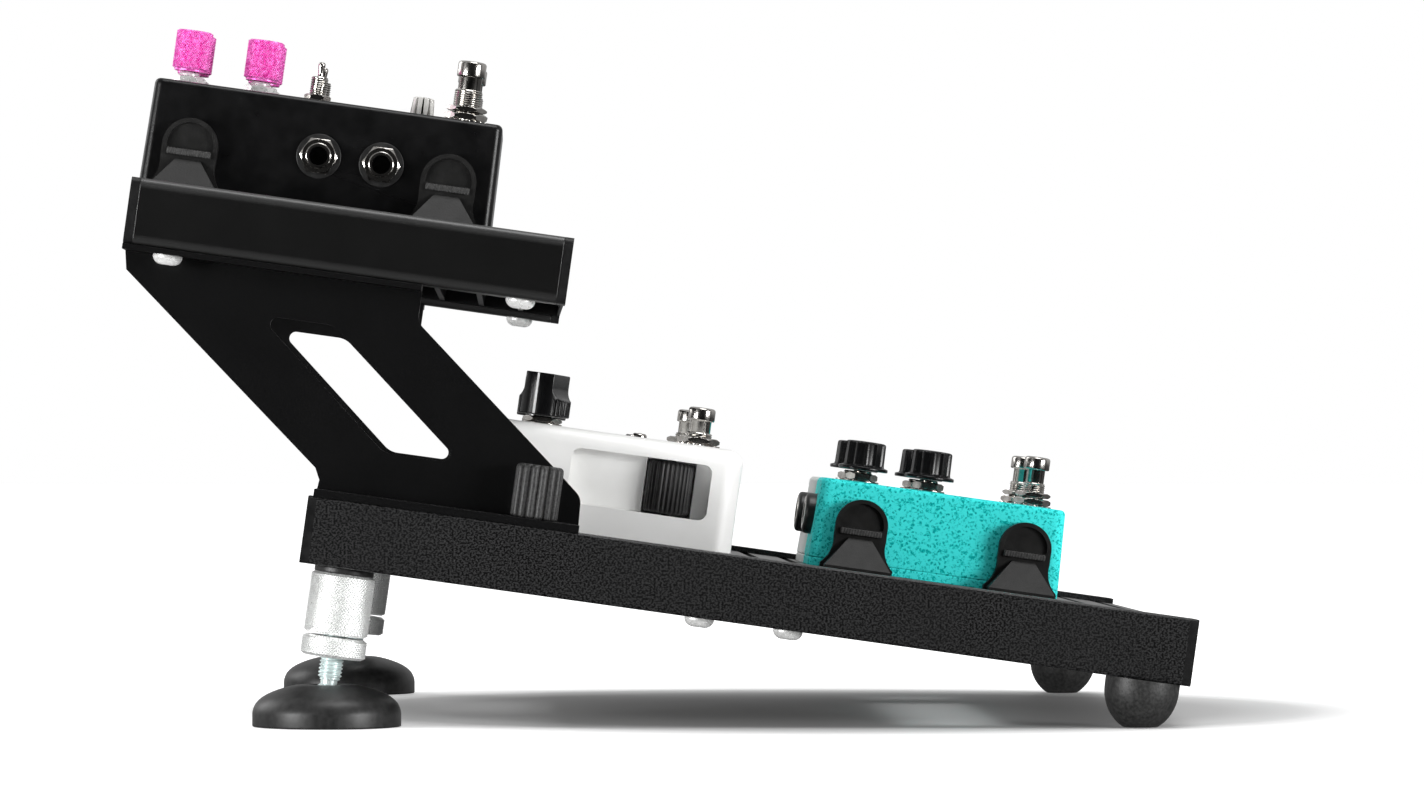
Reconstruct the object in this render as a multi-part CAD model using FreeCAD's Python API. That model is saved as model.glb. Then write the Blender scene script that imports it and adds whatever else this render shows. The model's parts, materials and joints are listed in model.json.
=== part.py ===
import FreeCAD, Part
import math
import os

# A two-tier pedalboard with the pedals that its own clamps hold.
#
# The lower deck is two 150 mm modules deep and falls towards the front on screw-adjusted rear legs.
# Two slanted risers carry a third module, the tray, above the back. Each module is two slotted
# tracks between two channel beams.
#
# Everything is drawn in deck coordinates: x runs forward along the side beams from their top rear
# corner, y runs across the board with its middle at 0, and z is square to the deck, up from the
# top of the lower beams. place() then tilts the whole assembly and stands it on the floor.
# "near" is the side at -Y and "far" the side at +Y.

Vec = FreeCAD.Vector
UP = Vec(0, 0, 1)
ACROSS = Vec(0, 1, 0)
FORWARD = Vec(1, 0, 0)

# --- driving dimensions, millimetres and degrees ---
TILT = 7.95
REAR_HEIGHT = 77.5            # floor to the top rear corner of the lower beams
BOARD_WIDTH = 300.0
BOARD_DEPTH = 300.0
BEAM_HEIGHT = 22.5
BEAM_WIDTH = 18.0
BEAM_WALL = 2.5
BEAM_LIP = 1.8
BEAM_ROUND = 1.0
TRAY_ROUND = 2.4
CAP_THICKNESS = 3.0
DECK_DROP = 1.9               # deck surface below the beam tops
TRACK_WIDTH = 60.0
TRACK_BOTTOM = BEAM_HEIGHT - BEAM_WALL
LOWER_TRACKS = {"rear_tracks": (0.0, 90.0), "front_tracks": (150.0, 240.0)}

SLOT_PITCH = 15.0
SLOT_MOUTH = 3.6
SLOT_LIP = 1.6
SLOT_UNDERCUT = 8.0
SLOT_DEPTH = 4.6
SLOT_COUNT = 4
BAY_RIB = 2.0                 # between the open bays under a track
BAY_ROOF = 7.0                # from the deck surface down to a bay's roof

TRAY_REAR = -73.0
TRAY_DEPTH = 149.0
TRAY_TOP = 97.3
RISER_TOP = TRAY_TOP - BEAM_HEIGHT
RISER_PLATE = 2.5
RISER_TOP_PLATE = 1.8
RISER_FOOT = (1.6, 90.9)
RISER_TOP_FRONT = 27.8
RISER_SET_BACK = 3.5            # the far riser stands this much further back than the near one

LEG_X = 15.0
LEG_INSET = 13.0
ROD_RADIUS = 4.0
RUNNING_GAP = 0.05
ROD_TOP = -12.2
LEG_HOLE_TOP = -8.0
SWIVEL_HEIGHT = 10.0          # the swivel's centre above the floor
PAD_RADIUS = 25.0
PAD_HEIGHT = 14.0
BALL_RADIUS = 5.0
SLEEVE_SPAN = (-45.1, -24.6)
RING_SPAN = (-52.7, -45.8)
SLEEVE_RADIUS = 10.95
RING_RADIUS = 11.1

FRONT_FOOT_X = 285.0
FRONT_FOOT_RADIUS = 12.5

SCREW_RADIUS = 2.5
SCREW_HEAD = (5.0, 3.2)       # radius, height
SCREW_DOME = 1.6              # the head's rounded edge
SCREW_SOCKET = (3.0, 1.8)     # across flats, depth
SCREW_LENGTH = 10.0
SCREW_HOLE = 10.6
LOWER_SCREWS = (135.0, 165.0)
TRAY_SCREWS = (-58.0, 61.0)

RISER_KNOB_X = 75.4
RISER_KNOB_INSET = 9.0
RISER_KNOB_RADIUS = 8.0
RISER_KNOB_TOP = 20.7
RISER_KNOB_FLUTES = 16
STUD_RADIUS = 3.0

CLAMP_HEIGHT = 26.0
CLAMP_BASE = 26.5
CLAMP_TOP = 19.0
CLAMP_WALL = 5.0
CLAMP_DEPTH = 14.0
SEAT_GAP = 0.1                # between a part that slides or turns and the face beside it

HALF_WIDTH = BOARD_WIDTH / 2
LEG_Y = HALF_WIDTH - LEG_INSET
DECK = -DECK_DROP
TRAY_DECK = TRAY_TOP - DECK_DROP
WEB_Y = HALF_WIDTH - BEAM_WIDTH
SCREW_Y = HALF_WIDTH - BEAM_WIDTH / 2

# The swivel sits on the leg's axis, SWIVEL_HEIGHT above the floor.
_slope = math.radians(TILT)
SWIVEL_Z = (SWIVEL_HEIGHT - REAR_HEIGHT + LEG_X * math.sin(_slope)) / math.cos(_slope)

# Pedals: x0, x1, y0, y1, z0, z1 in deck coordinates.
BLACK = (-74.1, 47.6, -100.0, -34.0, TRAY_DECK, TRAY_DECK + 38.6)
WHITE = (47.7, 144.7, -88.0, -42.0, DECK, DECK + 36.8)
REAR_WHITE_OFFSET = 134.0
TEAL = (177.6, 269.6, 34.0, 72.5, DECK, DECK + 32.3)
PALE = (177.6, 269.6, 91.0, 129.5, DECK, DECK + 32.3)

BLACK_DRAFT = 0.8
BLACK_WALL = 2.2
BLACK_PLATE = 2.4
BLACK_JACKS = (-14.2, 7.4)
BLACK_KNOBS = [(-63.2, -77.0), (-38.3, -77.0), (-63.2, -57.0), (-38.3, -57.0)]
BLACK_TOGGLES = [(-18.1, -82.0), (-18.1, -52.0)]
BLACK_SWITCHES = [(33.4, -86.0), (33.4, -48.0)]
TRIM_KNOB = (18.0, -67.0)
WHITE_KNOB = (74.1, -65.0)
WHITE_LED = (108.4, -65.0)
WHITE_SWITCH = (128.8, -65.0)
WHEEL_X = 120.5
WHEEL_RADIUS = 8.15
WHEEL_GAP = 0.4
RECESS = (85.8, 134.4, 9.3, 28.5)     # x0, x1, z0, z1 on the white pedal's side
RECESS_DEPTH = 8.0
SMALL_KNOBS = (193.9, 218.5)          # the teal and pale pedals are one model
SMALL_SWITCH = 257.1
SMALL_SOCKET_Z = 16.6
POINTER_TURN = -22.0                  # how far the pointer knobs are turned at rest

# Press switches, each the same in its model: heights are in deck coordinates.
BLACK_SWITCH_MODEL = {"top": 154.9, "bush_top": 144.5, "bush_radius": 4.9, "cap": (4.9, 5.6),
                      "shaft_radius": 3.95, "nut_flats": 13.0}
WHITE_SWITCH_MODEL = {"top": 48.2, "bush_top": 39.0, "bush_radius": 4.6, "cap": (4.7, 4.7),
                      "shaft_radius": 3.75, "nut_flats": 13.0}
SMALL_SWITCH_MODEL = {"top": 48.7, "bush_top": 38.6, "bush_radius": 4.1, "cap": (4.7, 4.8),
                      "shaft_radius": 3.3, "nut_flats": 12.0}
SHAFT_RADIUS = 3.0            # rotary controls
BUSH_RADIUS = 3.6
POINTER_KNOB = (37.8, 52.5)   # foot, top
POINTER_SHAFT_TOP = 49.0
SMALL_KNOB = (34.9, 45.6)
SOCKET_PROUD = 3.2            # power socket
WHITE_WALL = 2.5
CAST_WALL = 2.2
CAST_DRAFT = 1.1
SEAM_ROUND = 0.5              # the edges that meet between a cast pedal and its lid
JACK_BORE = 3.2               # for a 6.35 mm plug
JACK_LENGTH = 16.0

parts = {}


# --- helpers ---
def box(x0, x1, y0, y1, z0, z1):
    return Part.makeBox(x1 - x0, y1 - y0, z1 - z0, Vec(x0, y0, z0))


def rod(radius, x, y, z0, z1):
    return Part.makeCylinder(radius, z1 - z0, Vec(x, y, z0), UP)


def cross_rod(radius, x, z, y0, y1):
    return Part.makeCylinder(radius, y1 - y0, Vec(x, y0, z), ACROSS)


def tube(outer, inner, x, y, z0, z1):
    return rod(outer, x, y, z0, z1).cut(rod(inner, x, y, z0 - 1, z1 + 1))


def cross_tube(outer, inner, x, z, y0, y1):
    return cross_rod(outer, x, z, y0, y1).cut(cross_rod(inner, x, z, y0 - 1, y1 + 1))


def hexagon(across_flats, x, y, z0, z1, axis=UP):
    radius = across_flats / math.sqrt(3)
    side = Vec(1, 0, 0) if axis.x == 0 else Vec(0, 1, 0)
    other = axis.cross(side)
    centre = Vec(x, y, z0)
    corners = []
    for step in range(7):
        angle = math.radians(60 * step)
        corners.append(centre + side * (radius * math.cos(angle)) + other * (radius * math.sin(angle)))
    return Part.Face(Part.makePolygon(corners)).extrude(axis * (z1 - z0))


def nut(across_flats, bore, x, y, z0, z1):
    return hexagon(across_flats, x, y, z0, z1).cut(rod(bore, x, y, z0 - 1, z1 + 1))


def outward(solid):
    """The same solid with its faces pointing out."""
    if solid.Volume < 0:
        solid.reverse()
    return solid


def prism(points, y0, y1):
    """A closed outline of (x, z) points, extruded across the board."""
    corners = [Vec(x, y0, z) for x, z in points]
    face = Part.Face(Part.makePolygon(corners + corners[:1]))
    return face.extrude(ACROSS * (y1 - y0))


def lathe(points, x, y, z):
    """A closed outline of (radius, height) points, turned about the vertical at x, y, z."""
    corners = [Vec(x + radius, y, z + height) for radius, height in points]
    face = Part.Face(Part.makePolygon(corners + corners[:1]))
    return outward(face.revolve(Vec(x, y, z), UP, 360))


def edges_along(shape, direction):
    found = []
    for edge in shape.Edges:
        if edge.Curve.TypeId != "Part::GeomLine":
            continue
        tangent = (edge.Vertexes[-1].Point - edge.Vertexes[0].Point).normalize()
        if abs(abs(tangent.dot(direction)) - 1) < 1e-6:
            found.append(edge)
    return found


def edges_at_height(shape, z):
    return [edge for edge in shape.Edges
            if abs(edge.BoundBox.ZMin - z) < 1e-4 and abs(edge.BoundBox.ZMax - z) < 1e-4]


def soft_box(bounds, corner, top_edge):
    """A box with round upright corners and round top edges."""
    body = box(*bounds)
    body = body.makeFillet(corner, edges_along(body, UP))
    return body.makeFillet(top_edge, edges_at_height(body, bounds[5]))


def inset(bounds, wall, bottom, top):
    x0, x1, y0, y1, z0, z1 = bounds
    return (x0 + wall, x1 - wall, y0 + wall, y1 - wall, z0 + bottom, z1 - top)


def mirror_y(shape):
    return shape.mirror(Vec(0, 0, 0), ACROSS)


def group(shapes):
    return Part.makeCompound(shapes)


# --- beams and tracks ---
def beam(x0, x1, top, rounding):
    """A near-side channel beam, open towards the middle of the board."""
    outer = box(x0, x1, -HALF_WIDTH, -WEB_Y, top - BEAM_HEIGHT, top)
    outside = [edge for edge in edges_along(outer, FORWARD) if edge.BoundBox.YMax < -HALF_WIDTH + 0.1]
    outer = outer.makeFillet(rounding, outside)
    hollow = box(x0 - 1, x1 + 1, -HALF_WIDTH + BEAM_WALL, -WEB_Y + 1,
                 top - BEAM_HEIGHT + BEAM_WALL, top - BEAM_LIP)
    return outer.cut(hollow)


def cap_box(x0, top):
    return box(x0, x0 + CAP_THICKNESS, -HALF_WIDTH, -WEB_Y, top - BEAM_HEIGHT, top)


def end_cap(x0, top, rounding):
    body = cap_box(x0, top)
    outside = [edge for edge in edges_along(body, FORWARD) if edge.BoundBox.YMax < -HALF_WIDTH + 0.1]
    return body.makeFillet(rounding, outside)


def track(x0, top, cap_at=None):
    """A slotted extrusion across the board; its ends are solid blocks inside the beams."""
    deck = top - DECK_DROP
    end = HALF_WIDTH - BEAM_WALL - SEAT_GAP
    bottom = top - TRACK_BOTTOM
    body = box(x0, x0 + TRACK_WIDTH, -end, end, bottom, deck)
    for bay in range(SLOT_COUNT):
        middle = x0 + SLOT_PITCH * (bay + 0.5)
        mouth = box(middle - SLOT_MOUTH / 2, middle + SLOT_MOUTH / 2, -end - 1, end + 1,
                    deck - SLOT_DEPTH, deck + 1)
        undercut = box(middle - SLOT_UNDERCUT / 2, middle + SLOT_UNDERCUT / 2, -end - 1, end + 1,
                       deck - SLOT_DEPTH, deck - SLOT_LIP)
        hollow = box(middle - (SLOT_PITCH - BAY_RIB) / 2, middle + (SLOT_PITCH - BAY_RIB) / 2,
                     -WEB_Y + BAY_RIB, WEB_Y - BAY_RIB, bottom - 1, deck - BAY_ROOF)
        body = body.cut(mouth).cut(undercut).cut(hollow)
    if cap_at is not None:
        near = cap_box(cap_at, top)
        body = body.cut(near).cut(mirror_y(near))
    return body


def both_sides(shape):
    return [shape, mirror_y(shape)]


def screw(x, y, seat, tip):
    """A button-head screw whose head hangs below the seat."""
    head_radius, head_height = SCREW_HEAD
    head = rod(head_radius, x, y, seat - head_height, seat)
    rim = [edge for edge in head.Edges if abs(edge.BoundBox.ZMax - (seat - head_height)) < 1e-4]
    head = head.makeFillet(SCREW_DOME, rim)
    flats, depth = SCREW_SOCKET
    socket = hexagon(flats, x, y, seat - head_height - 1, seat - head_height + depth)
    return head.cut(socket).fuse(rod(SCREW_RADIUS, x, y, seat, tip)).removeSplitter()


def drill(shape, holes):
    for x, y, radius, z0, z1 in holes:
        shape = shape.cut(rod(radius, x, y, z0, z1))
    return shape


def lower_holes():
    holes = []
    clear = SCREW_RADIUS + RUNNING_GAP
    for x in LOWER_SCREWS:
        holes.append((x, -SCREW_Y, clear, -BEAM_HEIGHT - 1, -BEAM_HEIGHT + SCREW_HOLE))
    holes.append((LEG_X, -LEG_Y, ROD_RADIUS + RUNNING_GAP, -BEAM_HEIGHT - 1, LEG_HOLE_TOP))
    holes.append((FRONT_FOOT_X, -SCREW_Y, clear, -BEAM_HEIGHT - 1, -BEAM_HEIGHT + SCREW_HOLE))
    holes.append((RISER_KNOB_X, -HALF_WIDTH + RISER_KNOB_INSET, STUD_RADIUS + RUNNING_GAP, -BEAM_LIP - 1, 5))
    return holes


def tray_holes():
    return [(x, -SCREW_Y, SCREW_RADIUS + RUNNING_GAP, RISER_TOP - RISER_TOP_PLATE - 1, RISER_TOP + SCREW_HOLE)
            for x in TRAY_SCREWS]


def mirrored(holes):
    return holes + [(x, -y, radius, z0, z1) for x, y, radius, z0, z1 in holes]


def make_board():
    lower = drill(beam(CAP_THICKNESS, BOARD_DEPTH - CAP_THICKNESS, 0, BEAM_ROUND), lower_holes())
    parts["side_beam_near"], parts["side_beam_far"] = both_sides(lower)
    tray_front = TRAY_REAR + TRAY_DEPTH
    upper = beam(TRAY_REAR + CAP_THICKNESS, tray_front - CAP_THICKNESS, TRAY_TOP, TRAY_ROUND)
    upper = drill(upper, tray_holes())
    parts["tray_beam_near"], parts["tray_beam_far"] = both_sides(upper)

    cap_places = {0.0: 0.0, BOARD_DEPTH - TRACK_WIDTH: BOARD_DEPTH - CAP_THICKNESS}
    for name, starts in LOWER_TRACKS.items():
        pair = [track(x0, 0, cap_places.get(x0)) for x0 in starts]
        parts[name] = group([drill(one, mirrored(lower_holes())) for one in pair])
    pair = [track(TRAY_REAR, TRAY_TOP, TRAY_REAR),
            track(tray_front - TRACK_WIDTH, TRAY_TOP, tray_front - CAP_THICKNESS)]
    parts["tray_tracks"] = group([drill(one, mirrored(tray_holes())) for one in pair])

    caps = []
    for x0 in (0, BOARD_DEPTH - CAP_THICKNESS):
        caps += both_sides(end_cap(x0, 0, BEAM_ROUND))
    for x0 in (TRAY_REAR, tray_front - CAP_THICKNESS):
        caps += both_sides(end_cap(x0, TRAY_TOP, TRAY_ROUND))
    parts["beam_end_caps"] = group(caps)

    fixings = []
    for x in LOWER_SCREWS:
        fixings += both_sides(screw(x, -SCREW_Y, -BEAM_HEIGHT, -BEAM_HEIGHT + SCREW_LENGTH))
    for x in TRAY_SCREWS:
        seat = RISER_TOP - RISER_TOP_PLATE if x < RISER_TOP_FRONT else RISER_TOP
        fixings += both_sides(screw(x, -SCREW_Y, seat, RISER_TOP + SCREW_LENGTH))
    stud_nut = nut(10.0, STUD_RADIUS + RUNNING_GAP, RISER_KNOB_X, -HALF_WIDTH + RISER_KNOB_INSET,
                   -BEAM_LIP - 5.0, -BEAM_LIP)
    parts["screws_and_nuts"] = group(fixings + both_sides(stud_nut))


# --- risers ---
def riser(set_back=0.0):
    """A near riser: a slanted web with a window, and a flange along its top and bottom."""
    foot_rear, foot_front = RISER_FOOT
    under = RISER_TOP - RISER_TOP_PLATE
    web_points = [(TRAY_REAR, under), (-71.8, 66.7), (0.4, 9.4), (2.3, 5.5), (foot_rear, 0),
                  (foot_front, 0), (90.3, 11.8), (79.7, 20.7), (RISER_TOP_FRONT, 62.7),
                  (RISER_TOP_FRONT, under)]
    web = prism(web_points, -WEB_Y, -WEB_Y + RISER_PLATE)
    soft = [edge for edge in edges_along(web, ACROSS)
            if edge.BoundBox.ZMin > 1 and edge.BoundBox.ZMax < under - 1 and edge.BoundBox.XMin > 20]
    web = web.makeFillet(5.0, soft)

    window = prism([(-25.7, 57.7), (0.0, 57.7), (49.3, 17.4), (22.7, 17.4)], -WEB_Y - 1, -WEB_Y + RISER_PLATE + 1)
    upright = edges_along(window, ACROSS)
    wide = [edge for edge in upright if -1 < edge.BoundBox.XMin < 30]
    sharp = [edge for edge in upright if edge not in wide]
    window = window.makeFillet(8.0, wide)
    window = window.makeFillet(2.5, [edge for edge in edges_along(window, ACROSS)
                                     if any(edge.BoundBox.Center.isEqual(old.BoundBox.Center, 0.5)
                                            for old in sharp)])
    web = web.cut(window)

    bottom = box(foot_rear, foot_front, -HALF_WIDTH, -WEB_Y + RISER_PLATE, 0, RISER_PLATE)
    top = box(TRAY_REAR, RISER_TOP_FRONT, -HALF_WIDTH, -WEB_Y + RISER_PLATE, under, RISER_TOP)
    body = web.fuse([bottom, top]).removeSplitter()
    body.translate(Vec(-set_back, 0, 0))
    return drill(body, lower_holes() + tray_holes())


def riser_knob():
    """A fluted hand knob on a threaded stud."""
    y = -HALF_WIDTH + RISER_KNOB_INSET
    foot = RISER_PLATE + SEAT_GAP
    head = lathe([(0, foot), (RISER_KNOB_RADIUS - 0.6, foot), (RISER_KNOB_RADIUS, foot + 0.6), (RISER_KNOB_RADIUS, RISER_KNOB_TOP - 1.2), (7.0, RISER_KNOB_TOP), (0, RISER_KNOB_TOP)],
                 RISER_KNOB_X, y, 0)
    orbit = RISER_KNOB_RADIUS + 0.5
    for step in range(RISER_KNOB_FLUTES):
        angle = 2 * math.pi * step / RISER_KNOB_FLUTES
        x = RISER_KNOB_X + math.cos(angle) * orbit
        head = head.cut(rod(1.0, x, y + math.sin(angle) * orbit, foot - 1, RISER_KNOB_TOP + 1))
    return head.fuse(rod(STUD_RADIUS, RISER_KNOB_X, y, -12.0, foot + 1)).removeSplitter()


def make_risers():
    parts["riser_near"] = riser()
    parts["riser_far"] = mirror_y(riser(RISER_SET_BACK))
    parts["riser_knob_near"], parts["riser_knob_far"] = both_sides(riser_knob())


# --- legs and feet ---
def leg_pieces():
    """The near rear leg: sleeve and washer, lock ring, threaded rod, swivel pad."""
    x, y = LEG_X, -LEG_Y
    bore = ROD_RADIUS + RUNNING_GAP
    washer = tube(10.0, bore, x, y, SLEEVE_SPAN[1], -BEAM_HEIGHT)
    sleeve = tube(SLEEVE_RADIUS, bore, x, y, *SLEEVE_SPAN)
    ring = tube(RING_RADIUS, bore + 0.3, x, y, *RING_SPAN)

    neck_top = SWIVEL_Z + 5.6
    shaft = rod(ROD_RADIUS, x, y, neck_top, ROD_TOP)
    neck = rod(2.8, x, y, SWIVEL_Z, neck_top)
    ball = Part.makeSphere(BALL_RADIUS, Vec(x, y, SWIVEL_Z))
    threaded = shaft.fuse([neck, ball]).removeSplitter()
    return washer, sleeve, ring, threaded


def foot_pad():
    """A domed pad with a socket for the rod's ball; it lies flat on the floor, not on the tilt."""
    pivot = Vec(LEG_X, -LEG_Y, SWIVEL_Z)
    base = -SWIVEL_HEIGHT
    outline = [(0, base), (PAD_RADIUS - 0.3, base), (PAD_RADIUS, base + 0.3), (PAD_RADIUS, base + 4.4),
               (24.3, base + 6.8), (22.9, base + 8.8), (21.3, base + 10.0), (19.4, base + 11.1),
               (16.0, base + 12.5), (12.5, base + 13.5), (9.5, base + PAD_HEIGHT), (0, base + PAD_HEIGHT)]
    body = lathe(outline, 0, 0, 0)
    body = body.cut(Part.makeSphere(BALL_RADIUS + 0.1, Vec(0, 0, 0)))
    body = body.cut(Part.makeCone(3.3, 5.2, 5.0, Vec(0, 0, 1.0)))
    body.rotate(Vec(0, 0, 0), ACROSS, -TILT)
    body.translate(pivot)
    return body


def front_foot():
    """A rubber bullet on the beam, flattened where it meets the floor."""
    x, y = FRONT_FOOT_X, -SCREW_Y
    nose = 17.5
    straight = 3.0
    points = [Vec(x, y, -BEAM_HEIGHT), Vec(x + FRONT_FOOT_RADIUS, y, -BEAM_HEIGHT),
              Vec(x + FRONT_FOOT_RADIUS, y, -BEAM_HEIGHT - straight)]
    lines = [Part.LineSegment(points[0], points[1]).toShape(), Part.LineSegment(points[1], points[2]).toShape()]
    centre = Vec(x, y, -BEAM_HEIGHT - straight)
    ellipse = Part.Ellipse(centre + Vec(0, 0, -nose + straight), centre + Vec(FRONT_FOOT_RADIUS, 0, 0), centre)
    curve = Part.ArcOfEllipse(ellipse, 0, math.pi / 2).toShape()
    tip = Vec(x, y, -BEAM_HEIGHT - nose)
    close = Part.LineSegment(tip, points[0]).toShape()
    outline = Part.Wire(Part.__sortEdges__(lines + [curve, close]))
    body = outward(Part.Face(outline).revolve(Vec(x, y, 0), UP, 360))

    floor = box(x - 60, x + 60, y - 60, y + 60, -60, 0)
    floor.rotate(Vec(x, y, 0), ACROSS, -TILT)
    drop = (-REAR_HEIGHT + x * math.sin(_slope)) / math.cos(_slope)
    floor.translate(Vec(0, 0, drop))
    stud = rod(SCREW_RADIUS, x, y, -BEAM_HEIGHT, -BEAM_HEIGHT + SCREW_LENGTH)
    return body.cut(floor).fuse(stud).removeSplitter()


def make_legs():
    washer, sleeve, ring, threaded = leg_pieces()
    parts["leg_sleeves"] = group(both_sides(washer) + both_sides(sleeve))
    parts["lock_ring_near"], parts["lock_ring_far"] = both_sides(ring)
    parts["leg_rod_near"], parts["leg_rod_far"] = both_sides(threaded)
    parts["foot_pad_near"], parts["foot_pad_far"] = both_sides(foot_pad())
    parts["front_feet"] = group(both_sides(front_foot()))


# --- pedal clamps ---
def clamp_wall():
    half, top = CLAMP_BASE / 2, CLAMP_TOP / 2
    shoulder = CLAMP_HEIGHT - top

    def at(x, z):
        return Vec(x, 0, z)

    edges = [Part.LineSegment(at(-half, 0), at(half, 0)), Part.LineSegment(at(half, 0), at(half, 1.5)),
             Part.Arc(at(half, 1.5), at(top + 0.9, 5.2), at(top, 11.5)),
             Part.LineSegment(at(top, 11.5), at(top, shoulder)),
             Part.Arc(at(top, shoulder), at(0, CLAMP_HEIGHT), at(-top, shoulder)),
             Part.LineSegment(at(-top, shoulder), at(-top, 11.5)),
             Part.Arc(at(-top, 11.5), at(-top - 0.9, 5.2), at(-half, 1.5)),
             Part.LineSegment(at(-half, 1.5), at(-half, 0))]
    outline = Part.Wire([edge.toShape() for edge in edges])
    return Part.Face(outline).extrude(Vec(0, -CLAMP_WALL, 0))


def ramp():
    def ring(half, depth, z):
        corners = [Vec(-half, -CLAMP_WALL, z), Vec(half, -CLAMP_WALL, z), Vec(half, -depth, z), Vec(-half, -depth, z)]
        return Part.makePolygon(corners + corners[:1])
    foot = ring(CLAMP_BASE / 2 - 1.2, CLAMP_DEPTH, 0)
    edge = ring(CLAMP_BASE / 2 - 1.2, CLAMP_DEPTH, 1.0)
    tip = ring(4.2, CLAMP_WALL + 0.8, 11.6)
    return Part.makeLoft([foot, edge], True, True).fuse(Part.makeLoft([edge, tip], True, True))


def clamp():
    """A clamp at the origin: its pad face on y = 0, its base on z = 0, its ramp towards -Y."""
    body = clamp_wall().fuse([ramp(), box(-7.6, 7.6, -CLAMP_WALL - 1.2, -CLAMP_WALL, 13.0, 15.0)])
    moon = cross_rod(8.0, 0, CLAMP_HEIGHT - CLAMP_TOP / 2, -CLAMP_WALL - 1, -CLAMP_WALL + 1.6)
    below = box(-10, 10, -CLAMP_WALL - 2, 0, 0, CLAMP_HEIGHT - CLAMP_TOP / 2 - 1.0)
    body = body.cut(moon.cut(below))
    for side in (-1, 1):
        middle = side * SLOT_PITCH / 2
        neck = box(middle - 1.5, middle + 1.5, -CLAMP_DEPTH + 1.5, -1.5, -SLOT_LIP - 0.6, 0.5)
        head = box(middle - 3.6, middle + 3.6, -CLAMP_DEPTH + 1.5, -1.5, -SLOT_LIP - 2.7, -SLOT_LIP - 0.3)
        body = body.fuse([neck, head])
    return body.removeSplitter()


def make_clamps():
    model = clamp()
    places = [("tray_clamp_rear", -58.0, BLACK, TRAY_DECK), ("tray_clamp_front", 31.0, BLACK, TRAY_DECK),
              ("board_clamp_rear", 195.0, TEAL, DECK), ("board_clamp_front", 255.0, TEAL, DECK)]
    for name, x, pedal, deck in places:
        near = model.copy()
        near.translate(Vec(x, pedal[2] - SEAT_GAP, deck + SEAT_GAP))
        far = mirror_y(model)
        far.translate(Vec(x, pedal[3] + SEAT_GAP, deck + SEAT_GAP))
        parts[name + "_near"] = near
        parts[name + "_far"] = far


# --- controls shared by the pedals ---
hardware = []
inner = []


def foot_switch(name, x, y, panel, wall, top, bush_top, bush_radius, cap, shaft_radius, nut_flats):
    """A press switch: its cap slides in a fixed bush; nut, washer and body stay with the pedal."""
    cap_radius, cap_height = cap
    body = rod(cap_radius, x, y, top - cap_height, top)
    rims = [edge for edge in body.Edges if abs(edge.BoundBox.ZMax - edge.BoundBox.ZMin) < 1e-4]
    body = body.makeFillet(0.8, rims)
    body = body.fuse(rod(shaft_radius, x, y, panel - 4.0, top - cap_height + 0.5)).removeSplitter()
    parts[name] = body
    bore = shaft_radius + RUNNING_GAP
    bush = tube(bush_radius, bore, x, y, panel - wall - 2.0, bush_top)
    can = box(x - 6.5, x + 6.5, y - 4.3, y + 4.3, panel - wall - 18.0, panel - wall - 2.0)
    can = can.cut(rod(bore, x, y, panel - 8.5, panel))
    hardware.append(bush)
    hardware.append(tube(nut_flats / 2 + 1.2, bush_radius, x, y, panel, panel + 0.8))
    hardware.append(nut(nut_flats, bush_radius, x, y, panel + 0.8, panel + 3.0))
    inner.append(can)
    return rod(bush_radius, x, y, panel - wall - 1, panel + 1)


def control_shaft(x, y, panel, top, wall, nut_flats, nut_height):
    """A rotary control: the can, bush and nut are fixed; returns the turning shaft and its hole."""
    under = panel - wall - 1.0
    bore = SHAFT_RADIUS + RUNNING_GAP
    shaft = rod(SHAFT_RADIUS, x, y, under - 3.0, top)
    hardware.append(tube(BUSH_RADIUS, bore, x, y, under, panel + nut_height))
    hardware.append(nut(nut_flats, BUSH_RADIUS, x, y, panel, panel + nut_height))
    inner.append(tube(6.2, bore, x, y, under - 7.0, under))
    return shaft, rod(BUSH_RADIUS, x, y, under, panel + 1)


def knob_on(shaft, outline, x, y):
    """A turned knob with a blind hole that holds its shaft; the pair turns together."""
    body = lathe(outline, x, y, 0)
    return group([body.cut(shaft), shaft])


# --- black pedal on the tray ---
def tapered_box(bounds, draft):
    x0, x1, y0, y1, z0, z1 = bounds

    def ring(shrink, z):
        corners = [Vec(x0 + shrink, y0 + shrink, z), Vec(x1 - shrink, y0 + shrink, z),
                   Vec(x1 - shrink, y1 - shrink, z), Vec(x0 + shrink, y1 - shrink, z)]
        return Part.makePolygon(corners + corners[:1])
    return Part.makeLoft([ring(0, z0), ring(draft, z1)], True, True)


def jack(x, z, face, case):
    """A phone socket through the case's wall, which is at y = face there; its mouth looks towards -Y."""
    barrel = cross_tube(4.6, JACK_BORE, x, z, face - 4.6, face - 4.6 + JACK_LENGTH)
    washer = cross_tube(7.7, 4.6, x, z, face - 0.8, face + 0.5).cut(case)
    ring = hexagon(11.7, x, face - 3.4, 0, 2.6, ACROSS)
    ring.translate(Vec(0, 0, z))
    ring = ring.common(Part.makeCone(5.6, 10.2, 2.6, Vec(x, face - 3.4, z), ACROSS))
    ring = ring.cut(cross_rod(4.6, x, z, face - 5, face + 1))
    housing = box(x - 8.5, x + 8.5, face + BLACK_WALL + 1.5, face + 26.0, z - 8.5, z + 8.5)
    housing = housing.cut(cross_rod(4.6, x, z, face, face - 4.6 + JACK_LENGTH))
    housing = housing.cut(cross_rod(4.0, x, z, face, face + 24.0))
    inner.append(housing)
    return [barrel, washer, ring]


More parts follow.
